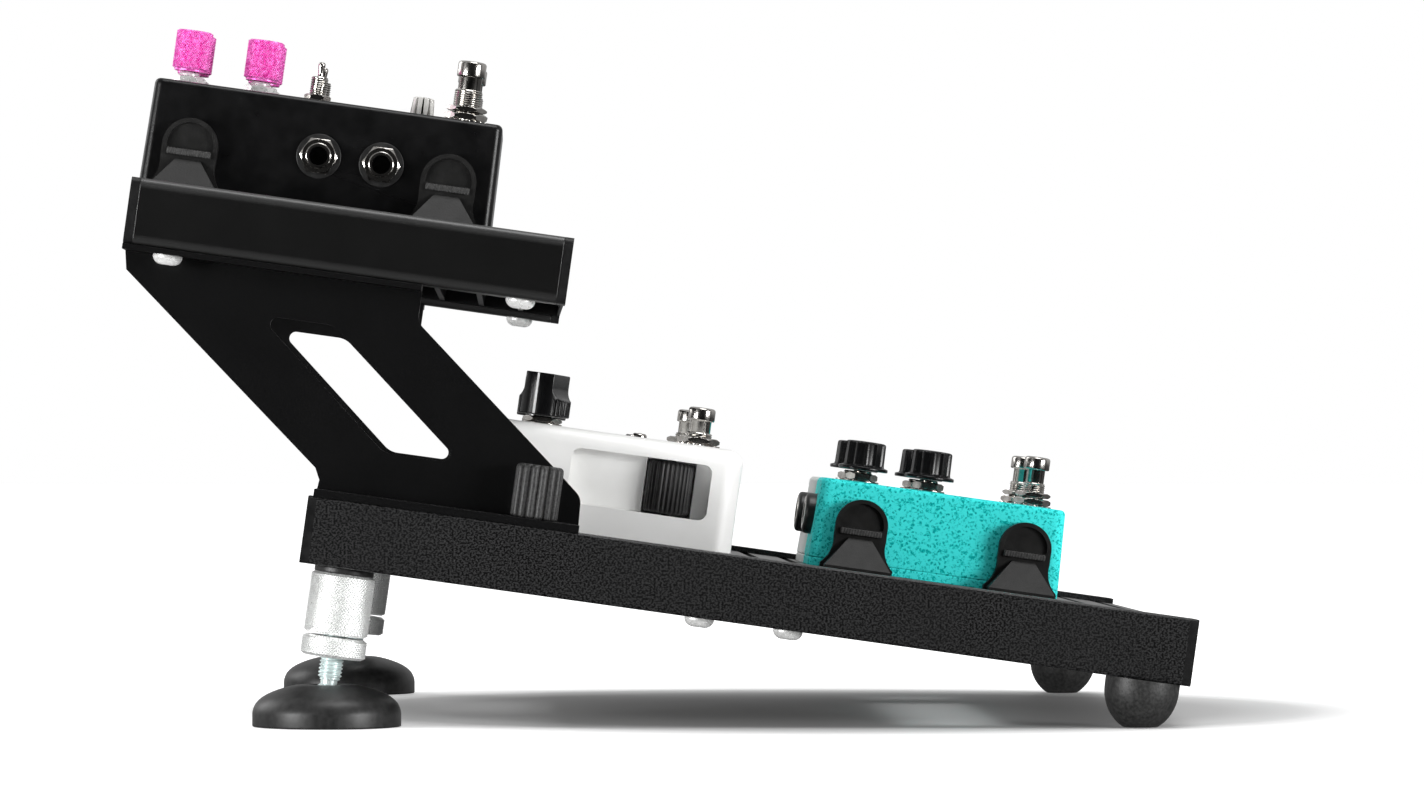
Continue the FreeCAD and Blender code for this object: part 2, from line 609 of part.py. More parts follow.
def make_black_pedal():
    x0, x1, y0, y1, z0, z1 = BLACK
    split = z0 + BLACK_PLATE
    whole = tapered_box(BLACK, BLACK_DRAFT)
    shell = whole.cut(box(x0 - 1, x1 + 1, y0 - 1, y1 + 1, z0 - 1, split))
    slanted = [edge for edge in shell.Edges if edge.BoundBox.ZLength > 20]
    shell = shell.makeFillet(3.0, slanted)
    shell = shell.makeFillet(2.0, edges_at_height(shell, z1))
    shell = shell.cut(tapered_box(inset((x0, x1, y0, y1, z0 - 5, z1), BLACK_WALL, 0, BLACK_WALL), BLACK_DRAFT))
    plate = whole.common(box(x0 - 1, x1 + 1, y0 - 1, y1 + 1, z0, split))
    plate = plate.makeFillet(3.0, [edge for edge in plate.Edges if edge.BoundBox.ZLength > BLACK_PLATE - 0.1])

    jack_z = (z0 + z1) / 2
    sockets = []
    for x in BLACK_JACKS:
        sockets += jack(x, jack_z, y0 + BLACK_DRAFT / 2, whole)
        shell = shell.cut(cross_rod(4.6, x, jack_z, y0 - 2, y0 + 8))

    knob_foot = z1 + 4.5
    knob_top = knob_foot + 14.2
    for number, (x, y) in enumerate(BLACK_KNOBS, 1):
        shaft, hole = control_shaft(x, y, z1, knob_top - 3.0, BLACK_WALL, 10.0, 3.0)
        outline = [(0, knob_foot), (5.6, knob_foot), (5.6, knob_foot + 0.8), (6.4, knob_foot + 1.2),
                   (6.4, knob_top - 0.7), (5.7, knob_top), (0, knob_top)]
        parts["black_pedal_knob_%d" % number] = knob_on(shaft, outline, x, y)
        shell = shell.cut(hole)

    for number, (x, y) in enumerate(BLACK_SWITCHES, 1):
        hole = foot_switch("black_pedal_footswitch_%d" % number, x, y, z1, BLACK_WALL, **BLACK_SWITCH_MODEL)
        shell = shell.cut(hole)

    pivot = z1 + 7.2
    for number, (x, y) in enumerate(BLACK_TOGGLES, 1):
        lever = lathe([(0, pivot), (1.0, pivot), (1.0, pivot + 2.6), (1.2, pivot + 6.0), (0.9, pivot + 6.6),
                       (0, pivot + 6.6)], x, y, 0)
        lever = lever.fuse(Part.makeSphere(1.9, Vec(x, y, pivot))).removeSplitter()
        parts["black_pedal_toggle_%d" % number] = lever
        bush = tube(3.0, 2.2, x, y, z1 - BLACK_WALL - 1.0, pivot + 1.5)
        hardware.append(bush)
        hardware.append(nut(8.0, 3.0, x, y, z1, z1 + 2.2))
        inner.append(box(x - 4, x + 4, y - 6, y + 6, z1 - BLACK_WALL - 11, z1 - BLACK_WALL - 1))
        shell = shell.cut(rod(3.0, x, y, z1 - 4, z1 + 1))

    x, y = TRIM_KNOB
    shaft, hole = control_shaft(x, y, z1, z1 + 5.5, BLACK_WALL, 8.0, 0.6)
    outline = [(0, z1 + 0.9), (4.2, z1 + 0.9), (4.2, z1 + 1.6), (3.7, z1 + 6.6), (3.3, z1 + 7.4), (0, z1 + 7.4)]
    parts["black_pedal_trim_knob"] = knob_on(shaft, outline, x, y)
    shell = shell.cut(hole)

    inner.append(box(x0 + 6, x1 - 6, y0 + 6, y1 - 6, split + 3.0, split + 4.6))
    parts["black_pedal_shell"] = shell
    parts["black_pedal_base"] = plate
    return sockets


# --- white pedals ---
def white_case(bounds):
    x0, x1, y0, y1, z0, z1 = bounds
    seam = z0 + 1.4
    shell = soft_box((x0, x1, y0, y1, seam, z1), 7.0, 5.5)
    cavity = soft_box(inset((x0, x1, y0, y1, seam - 5, z1), WHITE_WALL, 0, WHITE_WALL), 4.5, 3.0)
    plate = box(x0 + 0.5, x1 - 0.5, y0 + 0.5, y1 - 0.5, z0, seam)
    plate = plate.makeFillet(6.5, edges_along(plate, UP))
    return shell, cavity, plate


def pointer_knob(shaft, x, y, foot, top):
    """A skirted knob with a bar to turn it by; the bar's pointer end faces the near side."""
    skirt = lathe([(0, foot), (9.1, foot), (9.1, foot + 6.6), (7.6, foot + 7.8), (0, foot + 7.8)], x, y, 0)
    bar = box(x - 5.3, x + 5.3, y - 10.0, y + 10.0, foot + 4.0, top).common(rod(9.05, x, y, foot, top))
    bar.rotate(Vec(x, y, 0), UP, POINTER_TURN)
    return group([skirt.fuse(bar).removeSplitter().cut(shaft), shaft])


def lamp_bezel(x, y, panel):
    """The ring round an indicator lamp; returns its hole."""
    outer = 2.5
    hardware.append(tube(outer, 1.5, x, y, panel - 3.5, panel + 1.4))
    return rod(outer, x, y, panel - 4.0, panel + 1)


def make_white_pedals():
    x0, x1, y0, y1, z0, z1 = WHITE
    shell, cavity, plate = white_case(WHITE)
    rx0, rx1, rz0, rz1 = RECESS
    floor = y0 + RECESS_DEPTH
    pocket_back = box(rx0 - 2, rx1 + 2, y0 + 1, floor + 2.0, rz0 - 2, rz1 + 2)
    recess = box(rx0, rx1, y0 - 1, floor, rz0, rz1)
    recess = recess.makeFillet(3.0, edges_along(recess, ACROSS))
    wheel_y = y0 + WHEEL_RADIUS + WHEEL_GAP
    wheel_room = rod(WHEEL_RADIUS + WHEEL_GAP, WHEEL_X, wheel_y, rz0, rz1)
    wheel_back = wheel_y + WHEEL_RADIUS + WHEEL_GAP + 1.2
    wheel_case = box(WHEEL_X - 11.5, WHEEL_X + 11.5, floor, wheel_back, rz0 - 2, rz1 + 2)
    cavity = cavity.cut(pocket_back.fuse(wheel_case))
    shell = shell.cut(cavity).cut(recess).cut(wheel_room)
    wheel = lathe([(0, rz0 + 0.6), (7.2, rz0 + 0.6), (WHEEL_RADIUS, rz0 + 1.6), (WHEEL_RADIUS, rz1 - 1.6),
                   (7.2, rz1 - 0.6), (0, rz1 - 0.6)], WHEEL_X, wheel_y, 0)
    pin = rod(1.5, WHEEL_X, wheel_y, rz0 - 1.4, rz1 + 1.4)
    shell = shell.cut(rod(1.5 + RUNNING_GAP, WHEEL_X, wheel_y, rz0 - 1.5, rz1 + 1.5))
    parts["white_pedal_thumbwheel"] = group([wheel.cut(pin), pin])

    shaft, hole = control_shaft(*WHITE_KNOB, z1, POINTER_SHAFT_TOP, WHITE_WALL, 12.0, 2.4)
    parts["white_pedal_knob"] = pointer_knob(shaft, *WHITE_KNOB, *POINTER_KNOB)
    shell = shell.cut(hole)
    hole = foot_switch("white_pedal_footswitch", *WHITE_SWITCH, z1, WHITE_WALL, **WHITE_SWITCH_MODEL)
    shell = shell.cut(hole)
    shell = shell.cut(lamp_bezel(*WHITE_LED, z1))
    inner.append(box(x0 + 7, x1 - 7, y0 + 12, y1 - 7, z0 + 4.0, z0 + 5.6))
    parts["white_pedal_shell"] = shell
    parts["white_pedal_base"] = plate

    # The pedal behind it is the same model, without the side wheel.
    shift = REAR_WHITE_OFFSET
    back = (x0, x1, y0 + shift, y1 + shift, z0, z1)
    shell, cavity, plate = white_case(back)
    shell = shell.cut(cavity)
    x, y = WHITE_KNOB[0], WHITE_KNOB[1] + shift
    shaft, hole = control_shaft(x, y, z1, POINTER_SHAFT_TOP, WHITE_WALL, 12.0, 2.4)
    parts["rear_white_pedal_knob"] = pointer_knob(shaft, x, y, *POINTER_KNOB)
    shell = shell.cut(hole)
    x, y = WHITE_SWITCH[0], WHITE_SWITCH[1] + shift
    hole = foot_switch("rear_white_pedal_footswitch", x, y, z1, WHITE_WALL, **WHITE_SWITCH_MODEL)
    shell = shell.cut(hole).cut(lamp_bezel(WHITE_LED[0], WHITE_LED[1] + shift, z1))
    inner.append(box(x0 + 7, x1 - 7, back[2] + 7, back[3] - 7, z0 + 4.0, z0 + 5.6))
    parts["rear_white_pedal_case"] = group([shell, plate])


# --- the teal pedal and the pale one behind it ---
def cast_case(bounds, seam):
    x0, x1, y0, y1, z0, z1 = bounds
    split = z0 + seam
    shell = tapered_box((x0, x1, y0, y1, split, z1), CAST_DRAFT)
    shell = shell.makeFillet(4.0, [edge for edge in shell.Edges if edge.BoundBox.ZLength > 20])
    shell = shell.makeFillet(1.8, edges_at_height(shell, z1))
    shell = shell.makeFillet(SEAM_ROUND, edges_at_height(shell, split))
    cavity = tapered_box(inset((x0, x1, y0, y1, split - 5, z1), CAST_WALL, 0, CAST_WALL), CAST_DRAFT)
    lid = box(x0, x1, y0, y1, z0, split)
    lid = lid.makeFillet(4.0, edges_along(lid, UP))
    lid = lid.makeFillet(SEAM_ROUND, edges_at_height(lid, split))
    return shell.cut(cavity), lid


def side_socket(x, y, z, case):
    """A power socket that looks out of the case's rear wall, whose foot is at x."""
    mouth = x - SOCKET_PROUD
    ring = Part.makeCylinder(7.5, SOCKET_PROUD + 1.5, Vec(mouth, y, z), FORWARD).cut(case)
    neck = Part.makeCylinder(5.9, 9.0, Vec(x, y, z), FORWARD)
    hole = Part.makeCylinder(4.0, 10.0, Vec(mouth - 0.1, y, z), FORWARD)
    pin = Part.makeCylinder(1.0, 9.7, Vec(mouth + 1.0, y, z), FORWARD)
    return ring.fuse(neck).cut(hole).fuse(pin).removeSplitter(), neck


def small_pedal(prefix, bounds):
    """A narrow cast pedal with two knobs, a press switch and a power socket."""
    x0, x1, y0, y1, z0, z1 = bounds
    middle = (y0 + y1) / 2
    shell, lid = cast_case(bounds, 3.0)
    foot, top = SMALL_KNOB
    for number, x in enumerate(SMALL_KNOBS, 1):
        shaft, hole = control_shaft(x, middle, z1, top - 2.5, CAST_WALL, 10.0, 3.4)
        outline = [(0, foot), (9.1, foot), (9.1, foot + 0.8), (7.4, foot + 2.2), (7.1, foot + 2.6),
                   (7.0, top - 1.4), (6.2, top - 0.6), (3.8, top - 0.1), (0, top)]
        parts["%s_knob_%d" % (prefix, number)] = knob_on(shaft, outline, x, middle)
        shell = shell.cut(hole)
    hole = foot_switch(prefix + "_footswitch", SMALL_SWITCH, middle, z1, CAST_WALL, **SMALL_SWITCH_MODEL)
    socket, neck = side_socket(x0, middle, SMALL_SOCKET_Z, shell)
    inner.append(box(x0 + 20, x1 - 6, y0 + 5, y1 - 5, z0 + 5.0, z0 + 6.6))
    return shell.cut(hole).cut(neck), lid, socket


def make_small_pedals():
    shell, lid, socket = small_pedal("teal_pedal", TEAL)
    parts["teal_pedal_shell"] = shell
    parts["teal_pedal_lid"] = lid
    pale_shell, pale_lid, pale_socket = small_pedal("pale_pedal", PALE)
    parts["pale_pedal_case"] = group([pale_shell, pale_lid])
    return [socket, pale_socket]


# --- placing and writing ---
def tilt(shape):
    placed = shape.copy()
    placed.rotate(Vec(0, 0, 0), ACROSS, TILT)
    placed.translate(Vec(0, 0, REAR_HEIGHT))
    return placed


def build():
    make_board()
    make_risers()
    make_legs()
    make_clamps()
    sockets = make_black_pedal()
    make_white_pedals()
    sockets += make_small_pedals()
    parts["sockets"] = group(sockets)
    parts["panel_hardware"] = group(hardware)
    parts["inner_electronics"] = group(inner)


build()
tilted = {name: tilt(shape) for name, shape in parts.items()}
whole = group(list(tilted.values())).BoundBox
CENTRE_X = whole.Center.x


def place(x, y, z):
    """The row-frame position, in millimetres, of a point given in deck coordinates."""
    point = FreeCAD.Rotation(ACROSS, TILT).multVec(Vec(x, y, z))
    return point + Vec(-CENTRE_X, 0, REAR_HEIGHT)


os.makedirs("parts", exist_ok=True)
for name, shape in tilted.items():
    shape.translate(Vec(-CENTRE_X, 0, 0))
    shape.exportStep("parts/%s.step" % name)
print(len(tilted), "nodes, size", round(whole.XLength, 2), round(whole.YLength, 2), round(whole.ZLength, 2),
      "floor", round(whole.ZMin, 3))
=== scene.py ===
import json
import math

import bmesh
import bpy
from mathutils import Matrix, Vector


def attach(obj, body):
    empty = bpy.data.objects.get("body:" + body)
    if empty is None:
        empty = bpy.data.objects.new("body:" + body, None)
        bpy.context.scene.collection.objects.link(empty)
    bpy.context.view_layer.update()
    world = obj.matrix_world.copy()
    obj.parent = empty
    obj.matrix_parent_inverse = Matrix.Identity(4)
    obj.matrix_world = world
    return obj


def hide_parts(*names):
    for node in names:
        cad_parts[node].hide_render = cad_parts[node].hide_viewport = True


# A two-tier pedalboard with its pedals. Shapes are worked out in deck millimetres: x runs forward
# along the beams, z is square to the deck, and the origin is the lower beams' top rear corner.

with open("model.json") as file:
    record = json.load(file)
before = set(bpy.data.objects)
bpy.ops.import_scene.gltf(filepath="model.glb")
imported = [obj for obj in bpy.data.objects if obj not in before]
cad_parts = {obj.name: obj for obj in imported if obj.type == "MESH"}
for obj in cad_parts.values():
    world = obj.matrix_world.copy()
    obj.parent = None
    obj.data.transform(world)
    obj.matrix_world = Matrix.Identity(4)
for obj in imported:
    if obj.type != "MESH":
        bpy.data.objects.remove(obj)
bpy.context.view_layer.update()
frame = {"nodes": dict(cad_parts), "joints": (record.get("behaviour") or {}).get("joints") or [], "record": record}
NODES = frame["nodes"]
JOINTS = {joint["name"]: joint for joint in frame["joints"]}
MM = 0.001


# --- the deck's own frame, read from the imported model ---
def deck_matrix():
    """Turns deck millimetres into the row frame's metres."""
    normal = Vector(JOINTS["riser_knob_turn_near"]["axis"])
    turn = Matrix.Rotation(math.atan2(normal.x, normal.z), 4, "Y")
    back = turn.inverted()
    ends = [back @ v.co for v in NODES["beam_end_caps"].data.vertices]
    beam = [back @ v.co for v in NODES["side_beam_near"].data.vertices]
    top = max(p.z for p in beam)
    rear = min(p.x for p in ends if p.z < top + MM)
    return turn @ Matrix.Translation((rear, 0, top)) @ Matrix.Scale(MM, 4)


DECK = deck_matrix()
TO_DECK = DECK.inverted()


def deck_box(node):
    """Lowest and highest corner of a CAD node, square to the deck, in deck millimetres."""
    points = [TO_DECK @ v.co for v in NODES[node].data.vertices]
    low = Vector(min(p[i] for p in points) for i in range(3))
    high = Vector(max(p[i] for p in points) for i in range(3))
    return low, high


def middle(node):
    low, high = deck_box(node)
    return (low + high) / 2


def body_of(node):
    for name, nodes in frame["record"]["behaviour"]["bodies"].items():
        if node in nodes:
            return name
    raise ValueError(node)


# --- materials ---
def new_material(name, colour, roughness, metallic=0.0, **sockets):
    material = bpy.data.materials.new(name)
    material.use_nodes = True
    shader = material.node_tree.nodes["Principled BSDF"]
    shader.inputs["Base Color"].default_value = (*colour, 1)
    shader.inputs["Roughness"].default_value = roughness
    shader.inputs["Metallic"].default_value = metallic
    for key, value in sockets.items():
        shader.inputs[key.replace("_", " ")].default_value = value
    return material


def add(material, kind, **settings):
    node = material.node_tree.nodes.new(kind)
    for key, value in settings.items():
        if hasattr(node, key):
            setattr(node, key, value)
        else:
            node.inputs[key.replace("_", " ")].default_value = value
    return node


def link(material, source, target):
    material.node_tree.links.new(source, target)


def grain(material, scale, detail=3.0, kind="ShaderNodeTexNoise", space="Object", stretch=None, **settings):
    """A texture in object space; returns its node."""
    place = add(material, "ShaderNodeTexCoord")
    source = place.outputs[space]
    if stretch:
        mapping = add(material, "ShaderNodeMapping")
        mapping.inputs["Scale"].default_value = stretch
        link(material, source, mapping.inputs["Vector"])
        source = mapping.outputs["Vector"]
    texture = add(material, kind, Scale=scale, **settings)
    if "Detail" in texture.inputs:
        texture.inputs["Detail"].default_value = detail
    link(material, source, texture.inputs["Vector"])
    return texture


def ramp(material, source, stops):
    node = add(material, "ShaderNodeValToRGB")
    elements = node.color_ramp.elements
    while len(elements) < len(stops):
        elements.new(0.5)
    for element, (position, colour) in zip(elements, stops):
        element.position = position
        element.color = (*colour, 1) if len(colour) == 3 else colour
    link(material, source, node.inputs["Fac"])
    return node


def grey(value):
    return (value, value, value)


def spread(material, source, low, high, socket):
    """Maps a 0..1 texture to low..high on a shader socket."""
    node = add(material, "ShaderNodeMapRange")
    node.inputs["To Min"].default_value = low
    node.inputs["To Max"].default_value = high
    link(material, source, node.inputs["Value"])
    shader = material.node_tree.nodes["Principled BSDF"]
    link(material, node.outputs["Result"], shader.inputs[socket])
    return node


def bump(material, source, height, strength=1.0, under=None):
    node = add(material, "ShaderNodeBump")
    node.inputs["Strength"].default_value = strength
    node.inputs["Distance"].default_value = height
    link(material, source, node.inputs["Height"])
    if under:
        link(material, under.outputs["Normal"], node.inputs["Normal"])
    shader = material.node_tree.nodes["Principled BSDF"]
    link(material, node.outputs["Normal"], shader.inputs["Normal"])
    return node


def tint(material, texture, dark, light, low=0.35, high=0.65, output="Fac"):
    """Base colour that drifts between two colours."""
    colours = ramp(material, texture.outputs[output], [(low, dark), (high, light)])
    shader = material.node_tree.nodes["Principled BSDF"]
    link(material, colours.outputs["Color"], shader.inputs["Base Color"])
    return colours


def painted(name, colour, roughness, tones, polish=None, relief=(), **sockets):
    """A finish whose colour drifts between two tones, with patches of polish and layers of fine relief.

    tones is (scale, detail, dark, light) and polish (scale, detail, low, high roughness), and each
    layer of relief is (scale, detail, height, strength), with how its grain is stretched if it is.
    """
    material = new_material(name, colour, roughness, **sockets)
    scale, detail, dark, light, *limits = tones
    tint(material, grain(material, scale, detail), dark, light, *limits)
    if polish:
        scale, detail, low, high = polish
        spread(material, grain(material, scale, detail).outputs["Fac"], low, high, "Roughness")
    under = None
    for scale, detail, height, strength, *stretch in relief:
        texture = grain(material, scale, detail, stretch=stretch[0] if stretch else None)
        under = bump(material, texture.outputs["Fac"], height, strength, under=under)
    return material


def tray_beam_finish_with_painted_highlights():
    """The board's black finish, with painted highlights: paler bands along its rounded top and bottom edges stand in
    for the light caught there.
    """
    m = new_material("beam_painted_edge_highlights", (0.003, 0.003, 0.0032), 0.30, Specular_IOR_Level=0.55)
    upright = DECK.col[2].to_3d().normalized()
    low, high = deck_box("tray_beam_near")
    bottom = (DECK @ low).dot(upright)
    along = add(m, "ShaderNodeVectorMath")
    along.operation = "DOT_PRODUCT"
    along.inputs[1].default_value = upright
    link(m, add(m, "ShaderNodeTexCoord").outputs["Object"], along.inputs[0])
    height = add(m, "ShaderNodeMapRange")
    height.inputs["From Min"].default_value = bottom
    height.inputs["From Max"].default_value = bottom + (high.z - low.z) * MM
    link(m, along.outputs["Value"], height.inputs["Value"])
    uneven = add(m, "ShaderNodeMath", operation="MULTIPLY_ADD")
    uneven.inputs[1].default_value = 0.03
    link(m, grain(m, 900, 4).outputs["Fac"], uneven.inputs[0])
    link(m, height.outputs["Result"], uneven.inputs[2])
    # Paler bands near the bottom and top edges: painted highlights on the rounded edges.
    shade = ramp(m, uneven.outputs["Value"],
                 [(0.015, grey(0.006)), (0.07, grey(0.018)), (0.13, grey(0.012)), (0.17, grey(0.0025)),
                  (0.86, grey(0.0025)), (0.91, grey(0.020)), (0.97, grey(0.032)), (1.0, grey(0.036))])
    shader = m.node_tree.nodes["Principled BSDF"]
    link(m, shade.outputs["Color"], shader.inputs["Base Color"])
    spread(m, grain(m, 60, 5).outputs["Fac"], 0.28, 0.38, "Roughness")
    bump(m, grain(m, 2600, 4).outputs["Fac"], 0.00003, 0.7)
    return m


def teal_sparkle():
    """Teal paint over coarse metal flake: pale and dark flecks under a clear coat."""
    m = new_material("teal_sparkle", (0.0, 0.45, 0.44), 0.3, Specular_IOR_Level=0.03)
    flakes = grain(m, 1200, kind="ShaderNodeTexVoronoi")
    colours = ramp(m, flakes.outputs["Color"],
                   [(0.06, (0.0, 0.29, 0.28)), (0.20, (0.0, 0.34, 0.325)), (0.56, (0.0, 0.37, 0.355)),
                    (0.66, (0.005, 0.53, 0.51)), (0.86, (0.06, 0.84, 0.82))])
    shader = m.node_tree.nodes["Principled BSDF"]
    link(m, colours.outputs["Color"], shader.inputs["Base Color"])
    spread(m, flakes.outputs["Color"], 0.26, 0.5, "Roughness")
    bump(m, flakes.outputs["Color"], 0.00005, 0.4)
    return m


# Finishes by name: colour, roughness, tones, polish, relief and shader sockets, as in painted().
FINISHES = {
    "board_black": ((0.003, 0.003, 0.0032), 0.30,
                    (1500, 3, (0.0016, 0.0016, 0.0018), (0.0034, 0.0034, 0.0036), 0.38, 0.66),
                    (60, 5, 0.26, 0.34), [(2600, 4, 0.00003, 0.7)], {"Specular_IOR_Level": 0.55}),
    # The lower beams' finish: the board's black with its fine grain, painted lighter as if lit by the floor.
    "beam_grain_painted_lighter": ((0.009, 0.009, 0.0092), 0.38,
                   (1500, 2, (0.0005, 0.0005, 0.0006), (0.022, 0.022, 0.0225), 0.44, 0.56),
                   (60, 5, 0.32, 0.44), [(2600, 4, 0.00003, 0.7)], {"Specular_IOR_Level": 0.35}),
    "end_cap": ((0.006, 0.006, 0.0062), 0.42, (300, 3, (0.004, 0.004, 0.0042), (0.009, 0.009, 0.0092)),
                None, [(2200, 3, 0.00004, 0.6)], {"Specular_IOR_Level": 0.3}),
    "black_paint": ((0.004, 0.004, 0.0042), 0.30, (120, 3, (0.003, 0.003, 0.0032), (0.006, 0.006, 0.0063)),
                    (240, 4, 0.24, 0.36), [(900, 3, 0.00010, 0.3), (3200, 2, 0.00003, 0.35)],
                    {"Specular_IOR_Level": 0.28}),
    "clamp_plastic": ((0.018, 0.018, 0.0177), 0.38,
                      (200, 4, (0.010, 0.010, 0.0098), (0.016, 0.0158, 0.0155)),
                      (400, 4, 0.36, 0.52), [(1800, 4, 0.00008, 0.6)], {"Specular_IOR_Level": 0.22}),
    # The clamps' ledge grips: paler than the clamp plastic, a painted highlight along the ledge.
    "grip_painted_highlight": ((0.05, 0.05, 0.0495), 0.5, (900, 4, (0.036, 0.036, 0.0355), (0.062, 0.0615, 0.061)),
                  None, [(1800, 4, 0.00008, 0.6)], {"Specular_IOR_Level": 0.3}),
    "knob_black": ((0.004, 0.004, 0.0044), 0.22, (150, 3, (0.003, 0.003, 0.0034), (0.006, 0.006, 0.0064)),
                   (260, 4, 0.16, 0.30), [(1400, 3, 0.00003, 0.35)], {"Specular_IOR_Level": 0.3}),
    "hand_knob": (grey(0.02), 0.45, (1500, 4, grey(0.012), grey(0.045)), None, [(1700, 4, 0.00008, 0.7)], {}),
    "wheel_black": (grey(0.008), 0.42, (300, 4, grey(0.006), grey(0.014)), None, [(1500, 3, 0.00005, 0.5)], {}),
    "pad_plastic": (grey(0.014), 0.42, (500, 4, grey(0.009), grey(0.020)), (160, 5, 0.36, 0.48),
                    [(900, 4, 0.00006, 0.35)], {"Specular_IOR_Level": 0.5}),
    "foot_rubber": (grey(0.02), 0.45, (900, 4, grey(0.012), (0.034, 0.034, 0.0335)), None,
                    [(1300, 4, 0.00008, 0.7)], {}),
    "knurled_aluminium": ((0.93, 0.94, 0.93), 0.3, (700, 4, (0.93, 0.94, 0.93), (0.99, 1.0, 0.99)),
                          (500, 4, 0.22, 0.4), [(2500, 3, 0.00002, 0.5, (1, 1, 6))], {"metallic": 0.62}),
    "zinc_thread": ((0.82, 0.92, 0.91), 0.28, (600, 4, (0.74, 0.86, 0.85), (0.86, 0.96, 0.95)),
                    (420, 4, 0.2, 0.4), [], {"metallic": 0.5}),
    "screw_steel": ((0.85, 0.85, 0.84), 0.27, (800, 4, (0.76, 0.76, 0.75), (0.90, 0.90, 0.89)),
                    (500, 4, 0.2, 0.38), [], {"metallic": 0.45}),
    "chrome": ((0.52, 0.50, 0.475), 0.14, (500, 4, (0.45, 0.43, 0.405), (0.58, 0.565, 0.54)),
               (350, 4, 0.10, 0.24), [(1500, 3, 0.00001, 0.3)], {"metallic": 1.0}),
    "pink_anodised": ((0.95, 0.13, 0.58), 0.3, (900, 3, (0.80, 0.06, 0.45), (1.0, 0.30, 0.76)),
                      (700, 4, 0.24, 0.42), [], {"metallic": 0.35}),
    "white_paint": ((0.90, 0.90, 0.885), 0.38, (60, 4, (0.885, 0.885, 0.87), (0.915, 0.915, 0.905)),
                    (200, 4, 0.32, 0.46), [(700, 3, 0.00006, 0.3), (2600, 2, 0.00002, 0.35)],
                    {"Coat_Weight": 0.15, "Coat_Roughness": 0.25}),
    "pale_paint": ((0.80, 0.83, 0.81), 0.36, (60, 4, (0.77, 0.80, 0.78), (0.83, 0.86, 0.84)),
                   (200, 4, 0.3, 0.44), [(900, 3, 0.00006, 0.3)], {"Coat_Weight": 0.15, "Coat_Roughness": 0.2}),
    "ivory_plastic": ((0.80, 0.79, 0.76), 0.4, (400, 3, (0.74, 0.73, 0.70), (0.84, 0.83, 0.80)), None,
                      [(1500, 3, 0.00004, 0.5)], {}),
    "socket_black": (grey(0.01), 0.34, (400, 3, grey(0.007), grey(0.016)), None, [(1500, 3, 0.00004, 0.5)], {}),
    "circuit_board": ((0.02, 0.12, 0.05), 0.4, (200, 4, (0.015, 0.09, 0.04), (0.03, 0.15, 0.07)), None,
                      [(1200, 3, 0.00004, 0.5)], {}),
    "pointer_line": ((0.86, 0.87, 0.86), 0.45, (900, 3, (0.8, 0.81, 0.8), (0.9, 0.9, 0.9)), None, [], {}),
    "led_lens": ((0.75, 0.77, 0.78), 0.12, (700, 3, (0.68, 0.7, 0.72), (0.82, 0.84, 0.85)), None, [],
                 {"Transmission_Weight": 0.5, "IOR": 1.5}),
}
MATERIALS = {name: painted(name, *row, **sockets) for name, (*row, sockets) in FINISHES.items()}
MATERIALS["teal_sparkle"] = teal_sparkle()
MATERIALS["beam_painted_edge_highlights"] = tray_beam_finish_with_painted_highlights()


# --- mesh helpers; every shape is given in deck millimetres ---
def finish_piece(name, mesh, node, slot, material=None, sharp=35.0, replaces=True, matrix=None):
    """Places a mesh made in deck millimetres, and rides it on its node's body."""
    mesh.transform(matrix or DECK)
    mesh.name = name
    mesh.update()
    piece = bpy.data.objects.new(name, mesh)
    bpy.context.scene.collection.objects.link(piece)
    mesh.materials.append(material or MATERIALS[slot])
    mesh.shade_smooth()
    mesh.set_sharp_from_angle(angle=math.radians(sharp))
    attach(piece, body_of(node))
    if replaces:
        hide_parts(node)
    return piece


def turned_mesh(name, rings, count, radius_at, centre):
    """A closed surface of revolution about z.

    rings are (radius, height) pairs from the bottom up; radius_at(angle, radius, height) may flute it.
    """
    vertices, faces = [], []
    for radius, height in rings:
        for step in range(count):
            angle = 2 * math.pi * step / count
            r = radius_at(angle, radius, height)
            vertices.append((centre[0] + r * math.cos(angle), centre[1] + r * math.sin(angle), centre[2] + height))
    for row in range(len(rings) - 1):
        for step in range(count):
            after = (step + 1) % count
            a, b = row * count + step, row * count + after
            faces.append((a, b, b + count, a + count))
    faces.append(tuple(range(count))[::-1])
    top = (len(rings) - 1) * count
    faces.append(tuple(range(top, top + count)))
    mesh = bpy.data.meshes.new(name)
    mesh.from_pydata(vertices, [], faces)
    return mesh


def plain(angle, radius, height):
    return radius


def ring_mesh(name, rings, count, radius_at, centre, bore):
    """As turned_mesh, with a plain bore through it."""
    rows = list(rings) + [(bore, rings[-1][1]), (bore, rings[0][1])]
    vertices, faces = [], []
    for number, (radius, height) in enumerate(rows):
        shaped = number < len(rings)
        for step in range(count):
            angle = 2 * math.pi * step / count
            r = radius_at(angle, radius, height) if shaped else radius
            vertices.append((centre[0] + r * math.cos(angle), centre[1] + r * math.sin(angle), centre[2] + height))
    total = len(rows)
    for row in range(total):
        below, above = row * count, ((row + 1) % total) * count
        for step in range(count):
            after = (step + 1) % count
            faces.append((below + step, below + after, above + after, above + step))
    mesh = bpy.data.meshes.new(name)
    mesh.from_pydata(vertices, [], faces)
    return mesh


def join_meshes(name, meshes):
    """One mesh from several; each stays a closed shell of its own."""
    work = bmesh.new()
    for mesh in meshes:
        work.from_mesh(mesh)
        bpy.data.meshes.remove(mesh)
    joined = bpy.data.meshes.new(name)
    work.to_mesh(joined)
    work.free()
    return joined


def hexagon_at(flats):
    """The radius of a hexagon by its angle, no further out than its ring's own radius."""
    def radius_at(angle, radius, height):
        part = (angle % (math.pi / 3)) - math.pi / 6
        return min(flats / 2 / math.cos(part), radius)
    return radius_at


